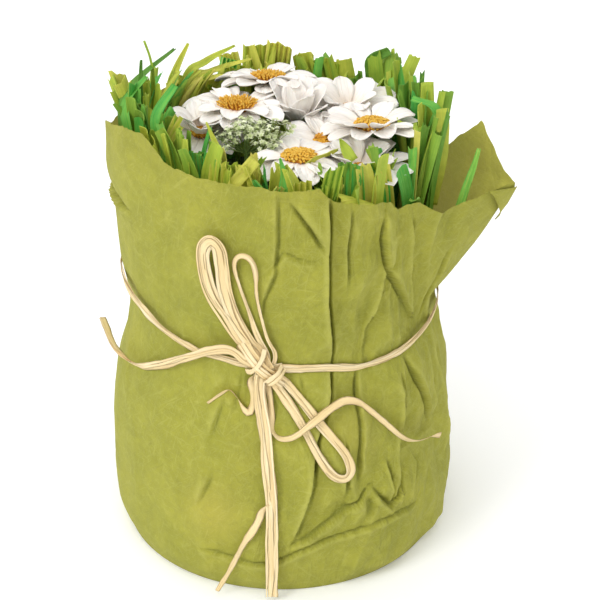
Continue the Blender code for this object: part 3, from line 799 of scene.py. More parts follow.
# Each crease: height of its ridge in mm (negative for a groove), width of its soft side in mm, and its line
# as (azimuth, height). The ridge's soft side lies to the left of the direction of travel.
CREASES = [
    (2.6, 7.0, [(-75, 82), (-73, 92), (-72, 111), (-74, 136), (-74, 159), (-74, 181)]),
    (1.6, 6.0, [(-86, 181), (-79, 169), (-74, 158)]),
    (1.0, 8.0, [(-98, 126), (-96, 137), (-92, 149), (-91, 165), (-91, 185)]),
    (0.9, 5.0, [(-75, 153), (-83, 154), (-88, 157), (-94, 146)]),
    (2.2, 4.0, [(-52, 168), (-52, 157), (-49, 142), (-42, 129), (-34, 114), (-32, 104)]),
    (1.8, 4.0, [(-59, 106), (-58, 117), (-54, 126), (-48, 143)]),
    (1.7, 5.0, [(-33, 103), (-34, 120), (-38, 141), (-40, 162)]),
    (1.2, 4.0, [(-56, 118), (-53, 134), (-48, 146), (-49, 163)]),
    (1.4, 4.0, [(-61, 103), (-62, 90), (-61, 76), (-63, 50)]),
    (2.0, 5.0, [(-41, 101), (-34, 81), (-28, 62)]),
    (2.6, 5.0, [(-86, 28), (-82, 43), (-80, 53), (-79, 67), (-78, 75), (-73, 90)]),
    (1.5, 3.5, [(-69, 46), (-69, 74)]),
    (1.3, 3.5, [(-52, 36), (-51, 43), (-53, 58)]),
    (1.8, 4.0, [(-47, 35), (-47, 59), (-44, 81), (-46, 96)]),
    (0.9, 3.5, [(-119, 39), (-113, 58)]),
    (2.0, 3.0, [(-59, 48), (-64, 42), (-69, 38), (-75, 33), (-81, 27), (-88, 24)]),
    (1.8, 2.6, [(-44, 46), (-48, 37), (-52, 34), (-56, 40), (-60, 48)]),
    (1.2, 3.0, [(-37, 28), (-49, 29), (-61, 29), (-74, 26), (-84, 21), (-93, 15), (-107, 16), (-119, 18)]),
    (0.9, 5.0, [(-115, 70), (-111, 88), (-109, 102)]),
    (0.8, 4.0, [(-107, 86), (-104, 102)]),
    (1.1, 5.0, [(-67, 138), (-67, 157), (-66, 176)]),
    (1.0, 4.0, [(-82, 90), (-84, 103)]),
    (1.4, 4.0, [(-46, 66), (-46, 82), (-47, 99)]),
    (1.5, 4.0, [(-25, 60), (-27, 82), (-24, 100)]),
    (1.6, 5.0, [(-18, 36), (-15, 62), (-19, 99)]),
    (1.2, 3.0, [(-20, 140), (-22, 116), (-27, 104)]),
    (-1.2, 3.0, [(-41, 60), (-36, 48), (-40, 36)]),
    (2.4, 3.0, [(-150, 158), (-165, 156), (-180, 157)]),
    (2.4, 3.0, [(180, 157), (168, 160), (158, 166)]),
    (2.2, 7.0, [(50, 60), (52, 105), (55, 150), (52, 172)]),
    (2.0, 6.0, [(86, 40), (84, 90), (88, 140), (90, 178)]),
    (1.8, 6.0, [(118, 186), (121, 140), (117, 96), (120, 50)]),
    (1.7, 6.0, [(143, 30), (146, 80), (143, 125), (147, 186)]),
    (1.3, 5.0, [(68, 110), (71, 140), (66, 174)]),
    (1.4, 5.0, [(103, 104), (100, 72), (104, 34)]),
]
GIRTH_PER_DEGREE = math.radians(1.0) * 68.0
CREASE_DEPTH = 1.45
SHARP_SIDE = 0.35   # the width of a crease's sharp side, in mm


def press_crease(x, z, crease):
    """How far one crease lifts or sinks the paper at places x along the girth and z up, in mm."""
    ridge, soft, line = crease
    nearest = np.full(x.shape, 1e9)
    signed = np.zeros(x.shape)
    fade = np.zeros(x.shape)
    points = [np.array((a * GIRTH_PER_DEGREE, h)) for a, h in line]
    total = sum(np.linalg.norm(b - a) for a, b in zip(points, points[1:]))
    done = 0.0
    for a, b in zip(points, points[1:]):
        run = b - a
        length = np.linalg.norm(run)
        t = np.clip(((x - a[0]) * run[0] + (z - a[1]) * run[1]) / length ** 2, 0.0, 1.0)
        dx, dz = x - a[0] - run[0] * t, z - a[1] - run[1] * t
        distance = np.hypot(dx, dz)
        closer = distance < nearest
        nearest = np.where(closer, distance, nearest)
        side = np.where(run[0] * dz - run[1] * dx >= 0.0, 1.0, -1.0)
        signed = np.where(closer, distance * side, signed)
        place = done + t * length
        end = np.minimum(place, total - place)
        fade = np.where(closer, np.clip(end / min(9.0, total * 0.3), 0.12, 1.0), fade)
        done += length
    up = np.where(signed >= 0.0, np.exp(-signed / soft), np.exp(signed / SHARP_SIDE))
    groove = 1.1 * np.exp(-((signed + 1.2) / 0.6) ** 2) + 0.2 * np.exp(-((signed + 3.0) / 4.0) ** 2)
    return ridge * (up - groove * min(1.0, ridge / 1.6)) * fade


# %% [markdown]
# The sheet is a grid: columns round the body, closest together where the creases are, and rows from the foot
# to the rim. The rim is a little ragged, and the plain shape under the creases has no sharp bend at the
# waist.

# %% Lay out the grid of the sheet
COLUMN_RUNS = [
    # from azimuth, to azimuth, columns: closest where the creases are
    (-186.0, -104.0, 116), (-104.0, -14.0, 268), (-14.0, 12.0, 42), (12.0, 174.0, 124),
]
WALL_ROWS = 172
FOOT_ROWS = 12
TIE_HEIGHTS = [
    (-180, 119), (-148, 116), (-120, 109), (-90, 106), (-40, 102), (0, 104), (90, 110), (150, 115),
    (180, 119),
]
azimuth = np.concatenate([np.linspace(low, high, count, endpoint=False) for low, high, count in COLUMN_RUNS])
wrapped = (azimuth + 180.0) % 360.0 - 180.0
rim_azimuths, rim_heights = zip(*RIM_LINE)
rim = np.interp(wrapped, rim_azimuths, rim_heights)
rim = rim + 0.7 * soft_noise((wrapped + 180) / 4.0, 0.0, 51.0, 90)
rim = rim + 0.35 * soft_noise((wrapped + 180) / 1.2, 0.0, 52.0, 300)
share = np.linspace(0.0, 1.0, WALL_ROWS)[:, None]
height = share * rim[None, :]
girth = np.broadcast_to(wrapped[None, :] * GIRTH_PER_DEGREE, height.shape)
cell = (wrapped[None, :] + 180.0) / 360.0


def softened_profile(height):
    heights, radii = zip(*WRAP_PROFILE)
    return sum(np.interp(height + d, heights, radii) for d in (-4.0, -2.0, 0.0, 2.0, 4.0)) / 5.0


smooth_radius = wrapped_radius(wrapped[None, :], height, softened_profile(height))
print("sheet of", WALL_ROWS, "rows and", len(azimuth), "columns")

# %% [markdown]
# Besides the named creases the sheet has slow waves and flat facets in several sizes, strongest at the front
# right, and fine gathers where the raffia pinches it. They add up to one value, the lift: how far each point
# stands out from the plain shape, in millimetres.

# %% Raise the waves, the facets and the creases
def bell(x, centre, half):
    return np.exp(-((x - centre) / half) ** 2)


busy = 0.2 + 0.8 * bell(wrapped[None, :], -42.0, 38.0) + 0.5 * bell(wrapped[None, :], 90.0, 60.0)
tie = np.interp(wrapped, *zip(*TIE_HEIGHTS))[None, :]
pinch = bell(height, tie, 20.0)
drawn = cell + 0.012 * soft_noise(cell * 20, height / 30.0, 60.0, 20)
lift = 0.9 * soft_noise(cell * 14, height / 46.0, 61.0, 14)
lift += busy * 1.3 * creased_noise(drawn * 30, height / 52.0, 66.0, 30)
lift += (0.1 + busy) * 2.4 * facet_noise(drawn * 30, height / 31.0, 62.0, 30)
lift += (0.1 + busy) * 1.2 * facet_noise(drawn * 62, height / 14.0, 67.0, 62)
lift += busy * 0.4 * facet_noise(drawn * 130, height / 6.0, 63.0, 130)
lift += (0.2 + busy) * 0.9 * pinch * creased_noise(drawn * 62, height / 70.0, 64.0, 62)
crumpled = bell(girth, -64.0 * GIRTH_PER_DEGREE, 22.0) * bell(height, 39.0, 14.0)
lift += crumpled * 1.6 * facet_noise(drawn * 76, height / 6.5, 65.0, 76)
for crease in CREASES:
    lift += CREASE_DEPTH * press_crease(girth, height, crease)
raised = np.clip((height - 158.0) / 3.0, 0, 1)
lift += 2.2 * (bell(wrapped[None, :], -178.0, 26.0) + bell(wrapped[None, :], 182.0, 26.0)) * raised
print("creases pressed in:", len(CREASES))

# %% [markdown]
# The lift is then held in. Under a strand of raffia there is little room, and more with the distance from
# it, so no crease comes through the tie. Under the band the sheet doesn't sink away either, and lower down
# the tub keeps it from falling in.

# %% Fit the sheet between the raffia and the tub
room = np.full(height.shape, 9.0)
from_band = np.full(height.shape, 99.0)
for name in STRANDS:
    places = np.array(STRANDS[name], float)
    steps = np.linspace(0, len(places) - 1, 5 * len(places) - 4)
    closer_places = [np.interp(steps, np.arange(len(places)), places[:, k]) for k in range(3)]
    for a, h, s in np.stack(closer_places, axis=1):
        far = np.hypot(((wrapped[None, :] - a + 180.0) % 360.0 - 180.0) * GIRTH_PER_DEGREE, height - h)
        room = np.minimum(room, min(s, 4.0) - 1.0 + 0.4 * np.clip(far - 2.0, 0.0, None))
        if name == "raffia_band":
            from_band = np.minimum(from_band, far)
lift = np.maximum(lift - 0.5, -0.5 - 0.5 * np.clip(from_band - 2.5, 0.0, None))
lift = np.where(lift > room, room + 0.15 * np.tanh((lift - room) / 2.0), lift)
tub_room = np.interp(height, [0.0, 10.0, 58.0, 62.0], [63.0, 69.5, 69.5, 61.4])
lift = np.maximum(lift, np.minimum(tub_room - smooth_radius, -0.3))
foot_fade = np.clip(height / 6.0, 0.0, 1.0)
radius = smooth_radius + lift * foot_fade
wall = polar(radius, wrapped[None, :], height)
print("paper wall grid:", wall.shape[:2])

# %% [markdown]
# Under the foot the sheet is folded in towards the middle in flat pleats. Only their edges would ever show,
# so the pleats are low and end in a closed middle.

# %% Fold the sheet under the foot and build it
inward = np.linspace(0.0, 1.0, FOOT_ROWS + 1)[:-1, None]
foot_radius = 2.0 + (radius[0][None, :] - 2.0) * inward
pleats = np.abs(((wrapped[None, :] + 180.0) / 360.0 * 26.0) % 1.0 - 0.5) * 2.0
foot_height = 0.15 + 1.3 * pleats * np.sin(np.pi * inward)
foot = polar(foot_radius, wrapped[None, :], foot_height)
grid = np.concatenate([foot, wall])
around = np.broadcast_to(wrapped[None, :] * GIRTH_PER_DEGREE, grid.shape[:2])
up_sheet = np.concatenate([foot_radius - radius[0][None, :], height])
uv = np.stack([around, up_sheet], axis=-1)
stain = 0.42 * bell(around, -112.0 * GIRTH_PER_DEGREE, 13.0) * bell(up_sheet, 38.0, 15.0)
stain += 0.22 * bell(around, -66.0 * GIRTH_PER_DEGREE, 9.0) * bell(up_sheet, 74.0, 14.0)
stain += 0.12 * bell(around, -100.0 * GIRTH_PER_DEGREE, 10.0) * bell(up_sheet, 70.0, 16.0)
gather = Gather()
index = gather.add_grid(grid, uv, stain, closed=True)
gather.add_cap(index[0], flip=True)
wrapper = gather.build("paper_sheet", paper)
# The faces that close the seam lie between the map's two ends, so their far corners move round by one girth.
uv_data = wrapper.data.uv_layers["UVMap"].data
corner_uv = np.zeros((len(wrapper.data.loops), 2), np.float32)
uv_data.foreach_get("uv", corner_uv.ravel())
quads = corner_uv[:len(corner_uv) - len(azimuth)].reshape(-1, 4, 2)   # the last face is the foot's cap
across_seam = np.ptp(quads[:, :, 0], axis=1) > 180.0 * GIRTH_PER_DEGREE
quads[across_seam, :, 0] += np.where(quads[across_seam, :, 0] < 0.0, 360.0 * GIRTH_PER_DEGREE, 0.0)
uv_data.foreach_set("uv", corner_uv.ravel())
print("paper sheet:", len(wrapper.data.polygons), "faces")

# %% [markdown]
# Two more values go with each point of the sheet. The one called fold says how far the point lies below its
# surroundings: the finish paints shade into the hollows and a paler painted highlight onto the ridges. The
# one called busy says how much the paper was handled there, and so how deep its finest crinkles are.

# %% Mark the hollows and the handled places
blurred = lift.copy()
for _ in range(6):
    blurred = (np.roll(blurred, 2, axis=1) + blurred + np.roll(blurred, -2, axis=1)) / 3
    blurred[1:-1] = (blurred[:-2] + blurred[1:-1] + blurred[2:]) / 3
# How far each point lies below its surroundings, which the finish turns into painted shade and painted
# highlight.
hollow = np.concatenate([np.zeros(foot.shape[:2]), np.clip((blurred - lift) / 0.9, -1.0, 1.0)])
fold = wrapper.data.attributes.new("fold", "FLOAT", "POINT")
fold.data.foreach_set("value", hollow.astype(np.float32).ravel())
worked = np.concatenate([np.zeros(foot.shape[:2]), np.broadcast_to(busy, height.shape) + 0.5 * crumpled])
handled = wrapper.data.attributes.new("busy", "FLOAT", "POINT")
handled.data.foreach_set("value", np.clip(worked, 0.12, 1.3).astype(np.float32).ravel())
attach(wrapper, "root")
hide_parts("paper_wrapper")
print("hollows and handled places marked")

# %% [markdown]
# The sheet was cut once round the body with an overlap of a few centimetres, and to its height plus the part
# turned under the foot. The fold at the loose corner ends in a small dog-ear, where the corner of the sheet
# is turned back and hangs outside.

ear_rows, ear_columns = 9, 7
s_down = np.linspace(0.0, 1.0, ear_rows)[:, None]
s_in = np.linspace(0.0, 1.0, ear_columns)[None, :]
ear_azimuth = FLAP_FOLD[0] + 0.4 - s_in * (8.0 * (1 - 0.75 * s_down)) - 0.8 * s_down
ear_height = 160.0 + 3.0 * s_in * (1 - s_down) - 15.0 * s_down * (1.0 - 0.35 * s_in)
ear_puff = 1.0 + 1.6 * np.sin(np.pi * s_in * 0.5) * (0.4 + s_down)
ear_radius = paper_radius(ear_azimuth, np.minimum(ear_height, 160.0)) + ear_puff
ear = polar(ear_radius, ear_azimuth, ear_height)
gather = Gather()
ear_uv = np.stack(np.broadcast_arrays(ear_azimuth * GIRTH_PER_DEGREE, ear_height), axis=-1)
gather.add_grid(ear, ear_uv, 0.0)
dog_ear = gather.build("wrapper_dog_ear", paper, thickness=0.3)
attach(dog_ear, "root")

# %% [markdown]
# ## The collar of strips
# The collar is wood-fibre strip, dyed green in several shades and cut short: pleated sheaves with square
# tops, single strips, long blades that arch over, and broad ribbons. They stand in the gap between the
# foam and the paper. One routine bends them all: a strip starts upright and leans by a growing angle.

# %% The strips' finish
strips, tree, shader, uv = new_material("dyed_strips", 0.62)
streaks = place_group(tree, streaks_group, uv, Across=1.5, Along=0.05)
clouds = place_group(tree, cloud_group, uv, Scale=0.12, Pale=(1.0, 1.0, 1.0, 1), Deep=(0.72, 0.76, 0.66, 1))
color = color_ramp(tree, varied_shade(tree, streaks, 0.3), [
    (0.0, (0.06, 0.18, 0.02)), (0.15, (0.13, 0.32, 0.03)), (0.33, (0.28, 0.46, 0.04)),
    (0.5, (0.46, 0.56, 0.05)), (0.65, (0.64, 0.64, 0.08)), (0.8, (0.76, 0.66, 0.16)),
    (0.88, (0.24, 0.52, 0.06)), (1.0, (0.07, 0.42, 0.06)),
])
color = blend_colors(tree, 1.0, color, clouds.outputs["Color"], "MULTIPLY")
tree.links.new(color, shader.inputs["Base Color"])
vary_roughness(tree, shader, streaks.outputs["Fine"], 0.5, 0.8)
add_bump(tree, shader, streaks.outputs["Fine"], 0.0003, 0.7)
print("finish made:", strips.name)

# %% [markdown]
# A strip could be bent with a modifier, but hundreds of them would be slow. Its centre line is worked out
# instead, by adding up short steps whose lean grows, and its width is laid across that line. A pleated
# strip has columns that lie in and out by turns.

# %% Bend one strip
def add_blade(
    gather, foot, heading, facing, rise, length, width, lean, bend, twist, shade, pleats=0, tip=0.0,
    slant=0.0,
):
    """A strip that stands on foot, goes straight up to the height called rise, then leans towards heading.

    lean and bend, in degrees, are its first lean and how much more it leans at its tip. tip is how far it
    tapers and slant how far its cut end is off square.
    """
    rows = 12
    curl = 0.2 * width
    t = np.linspace(0.0, 1.0, rows)
    tilt = np.radians(lean + bend * t)
    turn = math.radians(heading)
    towards = np.array([math.cos(turn), math.sin(turn), 0.0])
    travel = np.sin(tilt)[:, None] * towards + np.cos(tilt)[:, None] * np.array([0, 0, 1.0])
    path = np.concatenate([np.zeros((1, 3)), np.cumsum(travel[:-1] * length / (rows - 1), axis=0)])
    path = path + np.array([foot[0], foot[1], rise])
    path = np.concatenate([np.array([foot]), path])
    travel = np.concatenate([np.array([[0, 0, 1.0]]), travel])
    t = np.concatenate([[0.0], t])
    face = math.radians(facing)
    side = np.array([-math.sin(face), math.cos(face), 0.0])
    side = unit(side - travel * (travel @ side)[:, None])
    normal = np.cross(side, travel)
    angle = np.radians(twist) * t
    side, normal = (
        side * np.cos(angle)[:, None] + normal * np.sin(angle)[:, None],
        normal * np.cos(angle)[:, None] - side * np.sin(angle)[:, None],
    )
    columns = 2 * pleats + 1 if pleats else 6
    u = np.linspace(-1.0, 1.0, columns)
    wide = width / 2 * (1 - tip * np.clip((t - 0.45) / 0.55, 0, 1) ** 1.6)
    fold = 0.8 * (-1.0) ** np.arange(columns) if pleats else curl * (u ** 2 - 0.4)
    points = path[:, None] + side[:, None] * (wide[:, None] * u)[..., None] + normal[:, None] * fold[:, None]
    ragged = slant * u + 0.9 * slant * lattice(np.arange(columns), round(foot[0]), 81.0)
    cut = np.clip((t - 0.86) / 0.14, 0, 1)[:, None] * ragged[None, :]
    points = points + travel[:, None] * cut[..., None]
    run = np.concatenate([[0.0], rise - foot[2] + np.arange(rows) * length / (rows - 1)])
    seed = foot[0] * 3.1 + foot[1] * 1.7
    uv = np.stack(np.broadcast_arrays((wide[:, None] * u) + seed * 7.0, run[:, None] + seed * 11.0), axis=-1)
    # Painted highlight and painted shade: the pleats' columns are paler and darker by turns, in step with
    # their folding in and out.
    pleat_light_and_shade = 0.10 * (-1.0) ** np.arange(columns) if pleats else 0.0 * u
    gather.add_grid(points, uv, np.clip(shade + pleat_light_and_shade[None, :], 0, 1))


# %% [markdown]
# Round the collar the mix changes: pleated sheaves behind, short pleated stubs at the front left, arching
# blades at the back left, broad ribbons at the left and right, and chopped flakes at the front right, where
# it is untidiest.

# %% The mix of strips round the collar
KINDS = {
    # kind: width, pleats, lean, bend, twist, taper, top above or below the usual, slant of the cut
    "sheaf": ((8, 14), 5, (-8, 12), (-14, 24), (-26, 26), 0.0, (-6, 1), 1.6),
    "stub": ((5, 9), 3, (-22, 26), (-30, 45), (-60, 60), 0.0, (-10, 1), 2.0),
    "strip": ((3.0, 5.2), 0, (-20, 26), (-30, 56), (-90, 90), 0.1, (-9, 3), 1.6),
    "blade": ((3.0, 4.6), 0, (0, 14), (20, 60), (-60, 60), 0.85, (0, 8), 0.5),
    "flake": ((3.6, 7.5), 0, (-30, 40), (-50, 80), (-120, 120), 0.15, (-13, 2), 2.6),
    "ribbon": ((4.5, 8.0), 0, (-10, 16), (-18, 45), (-60, 60), 0.2, (-6, 3), 2.0),
}
ZONES = [
    # azimuth up to, kinds in the outer, middle and inner layers, shades (lowest, highest, share of vivid),
    # and where the arching blades head
    (-150, ("ribbon", "strip", "strip"), (0.15, 0.66, 0.35), 45.0),
    (-118, ("ribbon", "stub", "strip"), (0.25, 0.70, 0.25), None),
    (-96, ("stub", "flake", "strip"), (0.36, 0.82, 0.2), None),
    (-72, ("stub", "flake", "flake"), (0.36, 0.82, 0.18), None),
    (-20, ("flake", "stub", "flake"), (0.2, 0.74, 0.24), None),
    (20, ("ribbon", "strip", "flake"), (0.08, 0.60, 0.2), None),
    (62, ("ribbon", "stub", "flake"), (0.14, 0.62, 0.16), None),
    (118, ("sheaf", "stub", "strip"), (0.35, 0.72, 0.1), None),
    (150, ("stub", "strip", "blade"), (0.42, 0.78, 0.04), 20.0),
    (181, ("ribbon", "strip", "blade"), (0.3, 0.76, 0.16), 50.0),
]
STRIP_TOPS = [
    (-180, 200), (-150, 201), (-125, 197), (-90, 191), (-60, 188), (-42, 190), (-25, 192), (0, 193),
    (40, 194), (49, 193), (54, 183), (60, 185), (66, 189), (79, 190), (82, 177), (91, 177), (93, 192),
    (101, 192), (104, 186), (112, 186), (119, 181), (130, 184), (150, 189), (180, 200),
]
print("kinds of strip:", ", ".join(KINDS))

# %% [markdown]
# The collar is planted in sixteen bundles, as in the model, and each bundle in three layers from the paper
# inwards. Most strips lean out only a little, so that none cuts through the rim. The arching blades at the
# back are the exception: they all bend the same way, over the flowers.

# %% Plant the strips
LAYERS = ((60.0, 0, 0.85), (57.0, 1, 0.95), (52.5, 2, 1.1))   # radius, layer, spacing
BUNDLES = 16
BUNDLE_SPAN = 360.0 / BUNDLES
strip_count = 0
for bundle in range(BUNDLES):
    rng = random.Random(100 + bundle)
    gather = Gather()
    start = -180.0 + bundle * BUNDLE_SPAN
    low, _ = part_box(f"strip_bundle_{bundle + 1:02d}")
    foot_height = low.z / MM
    for layer_radius, layer, spread in LAYERS:
        at = start
        while at < start + BUNDLE_SPAN - 1.0:
            zone = next(z for z in ZONES if at < z[0])
            kind = zone[1][layer]
            widths, pleats, leans, bends, twists, taper, tops, slant = KINDS[kind]
            width = rng.uniform(*widths)
            step = math.degrees(width * 0.8 * spread / layer_radius)
            here = min(at + step / 2, start + BUNDLE_SPAN - 1.0)
            top = np.interp(here, *zip(*STRIP_TOPS)) + rng.uniform(*tops) - 1.2 * layer
            radius_here = layer_radius - rng.uniform(0.0, 2.0)
            foot = (*polar(radius_here, here, 0.0)[:2], foot_height)
            lowest, highest, vivid = zone[2]
            shade = rng.uniform(0.9, 1.0) if rng.random() < vivid else rng.uniform(lowest, highest)
            at_flap = FLAP_FRONT_ROOT + 6 < here < FLAP_BACK_ROOT - 6
            swing = rng.uniform(-110.0, 110.0)
            outward = max(math.cos(math.radians(swing)), 0.05)
            most_outward = 4.0 if -135.0 < here < 35.0 else 12.0
            lean = min(rng.uniform(*leans), most_outward / outward)
            bend = min(rng.uniform(*bends), 2.0 * most_outward / outward)
            turn_out = 34 if pleats or kind == "strip" else 22
            rise = 132.0 if at_flap else min(np.interp(here, rim_azimuths, rim_heights) - 13.0, top - 17.0)
            heading = here + swing
            if zone[3] is not None and kind == "blade":
                heading = zone[3] + rng.uniform(-25, 25)
                bend = rng.uniform(*bends)
            add_blade(
                gather, foot, heading, here + rng.uniform(-turn_out, turn_out), rise, top - rise, width,
                lean, bend, rng.uniform(*twists), shade, pleats, taper,
                rng.uniform(-slant, slant),
            )
            strip_count += 1
            at += step
    piece = gather.build(f"strips_{bundle + 1:02d}", strips, thickness=0.25, smooth=False)
    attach(piece, "root")
    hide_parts(f"strip_bundle_{bundle + 1:02d}")
print("collar of", strip_count, "strips")

# %% [markdown]
# Some strips catch the eye and are placed one by one: the ribbons at the left, two of them vivid, the blades
# that arch over at the back left, the ribbons behind the loose corner, and a few cut ends fallen on the
# petals.

# %% Choose the strips that stand out
CHOSEN = {
    # name: (points from foot to tip, width, shade, taper, facing azimuth)
    "far_left": (
        [(-58, -8, 150), (-62.3, -5, 183.7), (-59.7, 2, 194.9), (-42.3, 20, 204.3)], 5.5, 0.12, 0.7, 215.0,
    ),
    "thin_left": (
        [(-52, 12, 150), (-50.8, 12, 192), (-51.5, 12, 203), (-53.9, 12, 211.3)], 2.6, 0.42, 0.7, 240.0,
    ),
    "wide_left": (
        [(-49, 30, 150), (-45.4, 30, 180.7), (-42.8, 32, 189.7), (-37.6, 34, 200.5)], 4.6, 0.62, 0.75,
        250.0,
    ),
    "arch_high": (
        [(-46, 34, 150), (-39.2, 38, 182.5), (-31.3, 42, 188.8), (-19, 48, 193.5)], 4.6, 0.55, 0.8, 270.0,
    ),
    "arch_middle": (
        [(-44, 36, 150), (-37.6, 40, 180.6), (-27.4, 44, 184.3), (-12, 50, 186.7)], 4.2, 0.66, 0.8, 270.0,
    ),
    "arch_low": (
        [(-46, 30, 150), (-40.9, 36, 177.9), (-29.3, 40, 182.4), (-14, 44, 182.2)], 3.8, 0.7, 0.8, 270.0,
    ),
    "vivid_left": (
        [(-46, -35, 140), (-45.8, -33, 185), (-47.2, -31, 198.3), (-39.9, -25, 209)], 6.0, 0.97, 0.55,
        262.0,
    ),
    "vivid_low_left": (
        [(-56, -18, 150), (-59, -19, 186), (-60, -14, 196), (-52, -6, 204)], 5.4, 0.93, 0.6, 235.0,
    ),
    "dark_left": (
        [(-55, 4, 150), (-55.5, 5, 190.9), (-55.2, 5, 199.7), (-54.8, 5, 206)], 3.4, 0.08, 0.75, 250.0,
    ),
    "curl_back_right": (
        [(38, 45, 150), (37.9, 46, 178), (37.5, 45, 188), (44.7, 42, 193.9)], 6.0, 0.15, 0.4, 250.0,
    ),
    "arch_right": ([(59, -8, 150), (63.5, -9, 175), (61.5, -7, 190), (52.0, -3, 193)], 4.6, 0.95, 0.3, 290.0),
    "wide_right": ([(57, 2, 150), (58.4, 2, 177.4), (58.5, 3, 187.5), (58.3, 4, 197)], 6.0, 0.5, 0.15, 280.0),
    "olive_right": (
        [(60, -11, 150), (63.5, -11, 171.3), (64, -10, 182.3), (63.8, -9, 191.5)], 6.0, 0.58, 0.15, 288.0,
    ),
    "on_petals": (
        [(10.2, -36, 180.4), (14.2, -34.5, 182.6), (18.2, -33, 183.6), (22.6, -31, 184.6)], 2.8, 0.66, 0.4,
        300.0,
    ),
    "leaf": (
        [(28.4, -32, 180), (26.9, -31, 181.9), (25.3, -29, 184.1), (23.2, -27, 187.2)], 4.6, 0.5, 0.95,
        280.0,
    ),
    "leaning_front": (
        [(-18.5, -59.5, 172), (-16.9, -59, 183.1), (-13.5, -58, 187.6), (-9.0, -57, 193)], 5.0, 0.68, 0.05,
        268.0,
    ),
    "leaf_left": (
        [(-20.5, -49, 178), (-21.7, -46, 187), (-24.8, -42, 194), (-27.6, -40, 200.5)], 3.4, 0.6, 0.9,
        250.0,
    ),
    "point_front": (
        [(2.2, -60, 172), (1.5, -60, 180.6), (1.9, -58, 187.2), (0.4, -56, 193.2)], 3.6, 0.95, 0.85, 270.0,
    ),
    "small_right": (
        [(70, -22, 150), (73.5, -20, 162), (76.5, -17, 170), (78.5, -15, 177)], 3.4, 0.9, 0.6, 240.0,
    ),
}
print("strips chosen:", len(CHOSEN))

# %% [markdown]
# Each chosen strip follows a smooth path through its four points and keeps its flat side turned one way. Its
# edges curl up a little, and it tapers over its upper part.

# %% Make the chosen strips
gather = Gather()
for points, width, shade, taper, facing in CHOSEN.values():
    path, length = smooth_path(points, 1.6)
    t = np.linspace(0.0, 1.0, len(path))
    travel = unit(np.gradient(path, axis=0))
    face = math.radians(facing)
    side = np.array([-math.sin(face), math.cos(face), 0.0])
    side = unit(side - travel * (travel @ side)[:, None])
    normal = np.cross(side, travel)
    u = np.linspace(-1.0, 1.0, 5)
    wide = width / 2 * (1 - taper * np.clip((t - 0.35) / 0.65, 0, 1) ** 1.7)
    sideways = wide[:, None] * u
    curl = 0.16 * width * (u ** 2 - 0.4)[None, :]
    curl = curl + 0.25 * soft_noise(t[:, None] * 6, u[None, :] + width, 91.0)
    points = path[:, None] + side[:, None] * sideways[..., None] + normal[:, None] * curl[..., None]
    uv = np.stack(np.broadcast_arrays(sideways + width * 31.0, t[:, None] * length + width * 17.0), axis=-1)
    gather.add_grid(points, uv, shade)
chosen = gather.build("strips_chosen", strips, thickness=0.25)
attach(chosen, "root")
print("chosen strips made in one piece")

# %% [markdown]
# ## The daisies
# Each daisy is a cloth or paper flower: two whorls of spoon-shaped petals round a yellow middle. A petal is
# pressed with fine lines along it and a shallow channel, and the heat of the press leaves it a little
# crooked, so every petal has its own pitch, droop and twist.

# %% The petals' finish
petals, tree, shader, uv = new_material("petals", 0.7)
shader.inputs["Subsurface Weight"].default_value = 0.12
shader.inputs["Subsurface Radius"].default_value = (0.002, 0.0016, 0.0012)
shade = read_attribute(tree, "shade")
streaks = place_group(tree, streaks_group, uv, Across=1.3, Along=0.05)
from_base = tree.nodes.new("ShaderNodeSeparateXYZ")
tree.links.new(uv, from_base.inputs[0])
near_base = add_node(tree, "ShaderNodeMapRange", sockets={"From Min": 9.0, "From Max": 0.0})
tree.links.new(from_base.outputs[1], near_base.inputs["Value"])
color = color_ramp(tree, streaks.outputs["Streaks"], [
    (0.25, (0.80, 0.74, 0.69)), (0.45, (0.93, 0.885, 0.83)), (0.7, (0.97, 0.945, 0.90)),
])
warmth = math_node(tree, "MULTIPLY", near_base.outputs[0], 0.55)
color = blend_colors(tree, warmth, color, (0.90, 0.76, 0.56, 1.0))
color = blend_colors(tree, math_node(tree, "MULTIPLY", shade, 0.25), color, (0.80, 0.74, 0.66, 1.0))
tree.links.new(color, shader.inputs["Base Color"])
vary_roughness(tree, shader, streaks.outputs["Fine"], 0.55, 0.85)
add_bump(tree, shader, streaks.outputs["Streaks"], 0.0007, 0.8)
print("finish made:", petals.name)

# %% [markdown]
# The middles are yellow to orange, and browner deep down between the grains, where the brown is painted
# shade.
# The shade of each grain or hair picks its colour.

# %% The yellow middles' finish
yellow, tree, shader, uv = new_material("flower_disc", 0.75)
streaks = place_group(tree, streaks_group, uv, Across=1.2, Along=1.2)
color = color_ramp(tree, varied_shade(tree, streaks, 0.35), [
    (0.0, (0.36, 0.11, 0.008)), (0.3, (0.66, 0.26, 0.012)), (0.6, (0.86, 0.45, 0.03)),
    (0.9, (0.93, 0.60, 0.09)),
])
tree.links.new(color, shader.inputs["Base Color"])
vary_roughness(tree, shader, streaks.outputs["Fine"], 0.6, 0.9)
add_bump(tree, shader, streaks.outputs["Fine"], 0.0003)
print("finish made:", yellow.name)

# %% [markdown]
# A petal is a grid bent along a falling line. It swells from a narrow foot to a spoon shape, has soft creases
# along it and a small notch at its tip. It could be a bent plane with modifiers, but this way every petal
# can differ.

# %% Shape one petal
def head_axes(place, tilt, azimuth):
    """The head's place and its turning matrix, leaning by tilt towards the azimuth."""
    turn = math.radians(azimuth)
    lean_axis = Vector((-math.sin(turn), math.cos(turn), 0.0))
    return np.array(place), np.array(Matrix.Rotation(math.radians(tilt), 3, lean_axis))


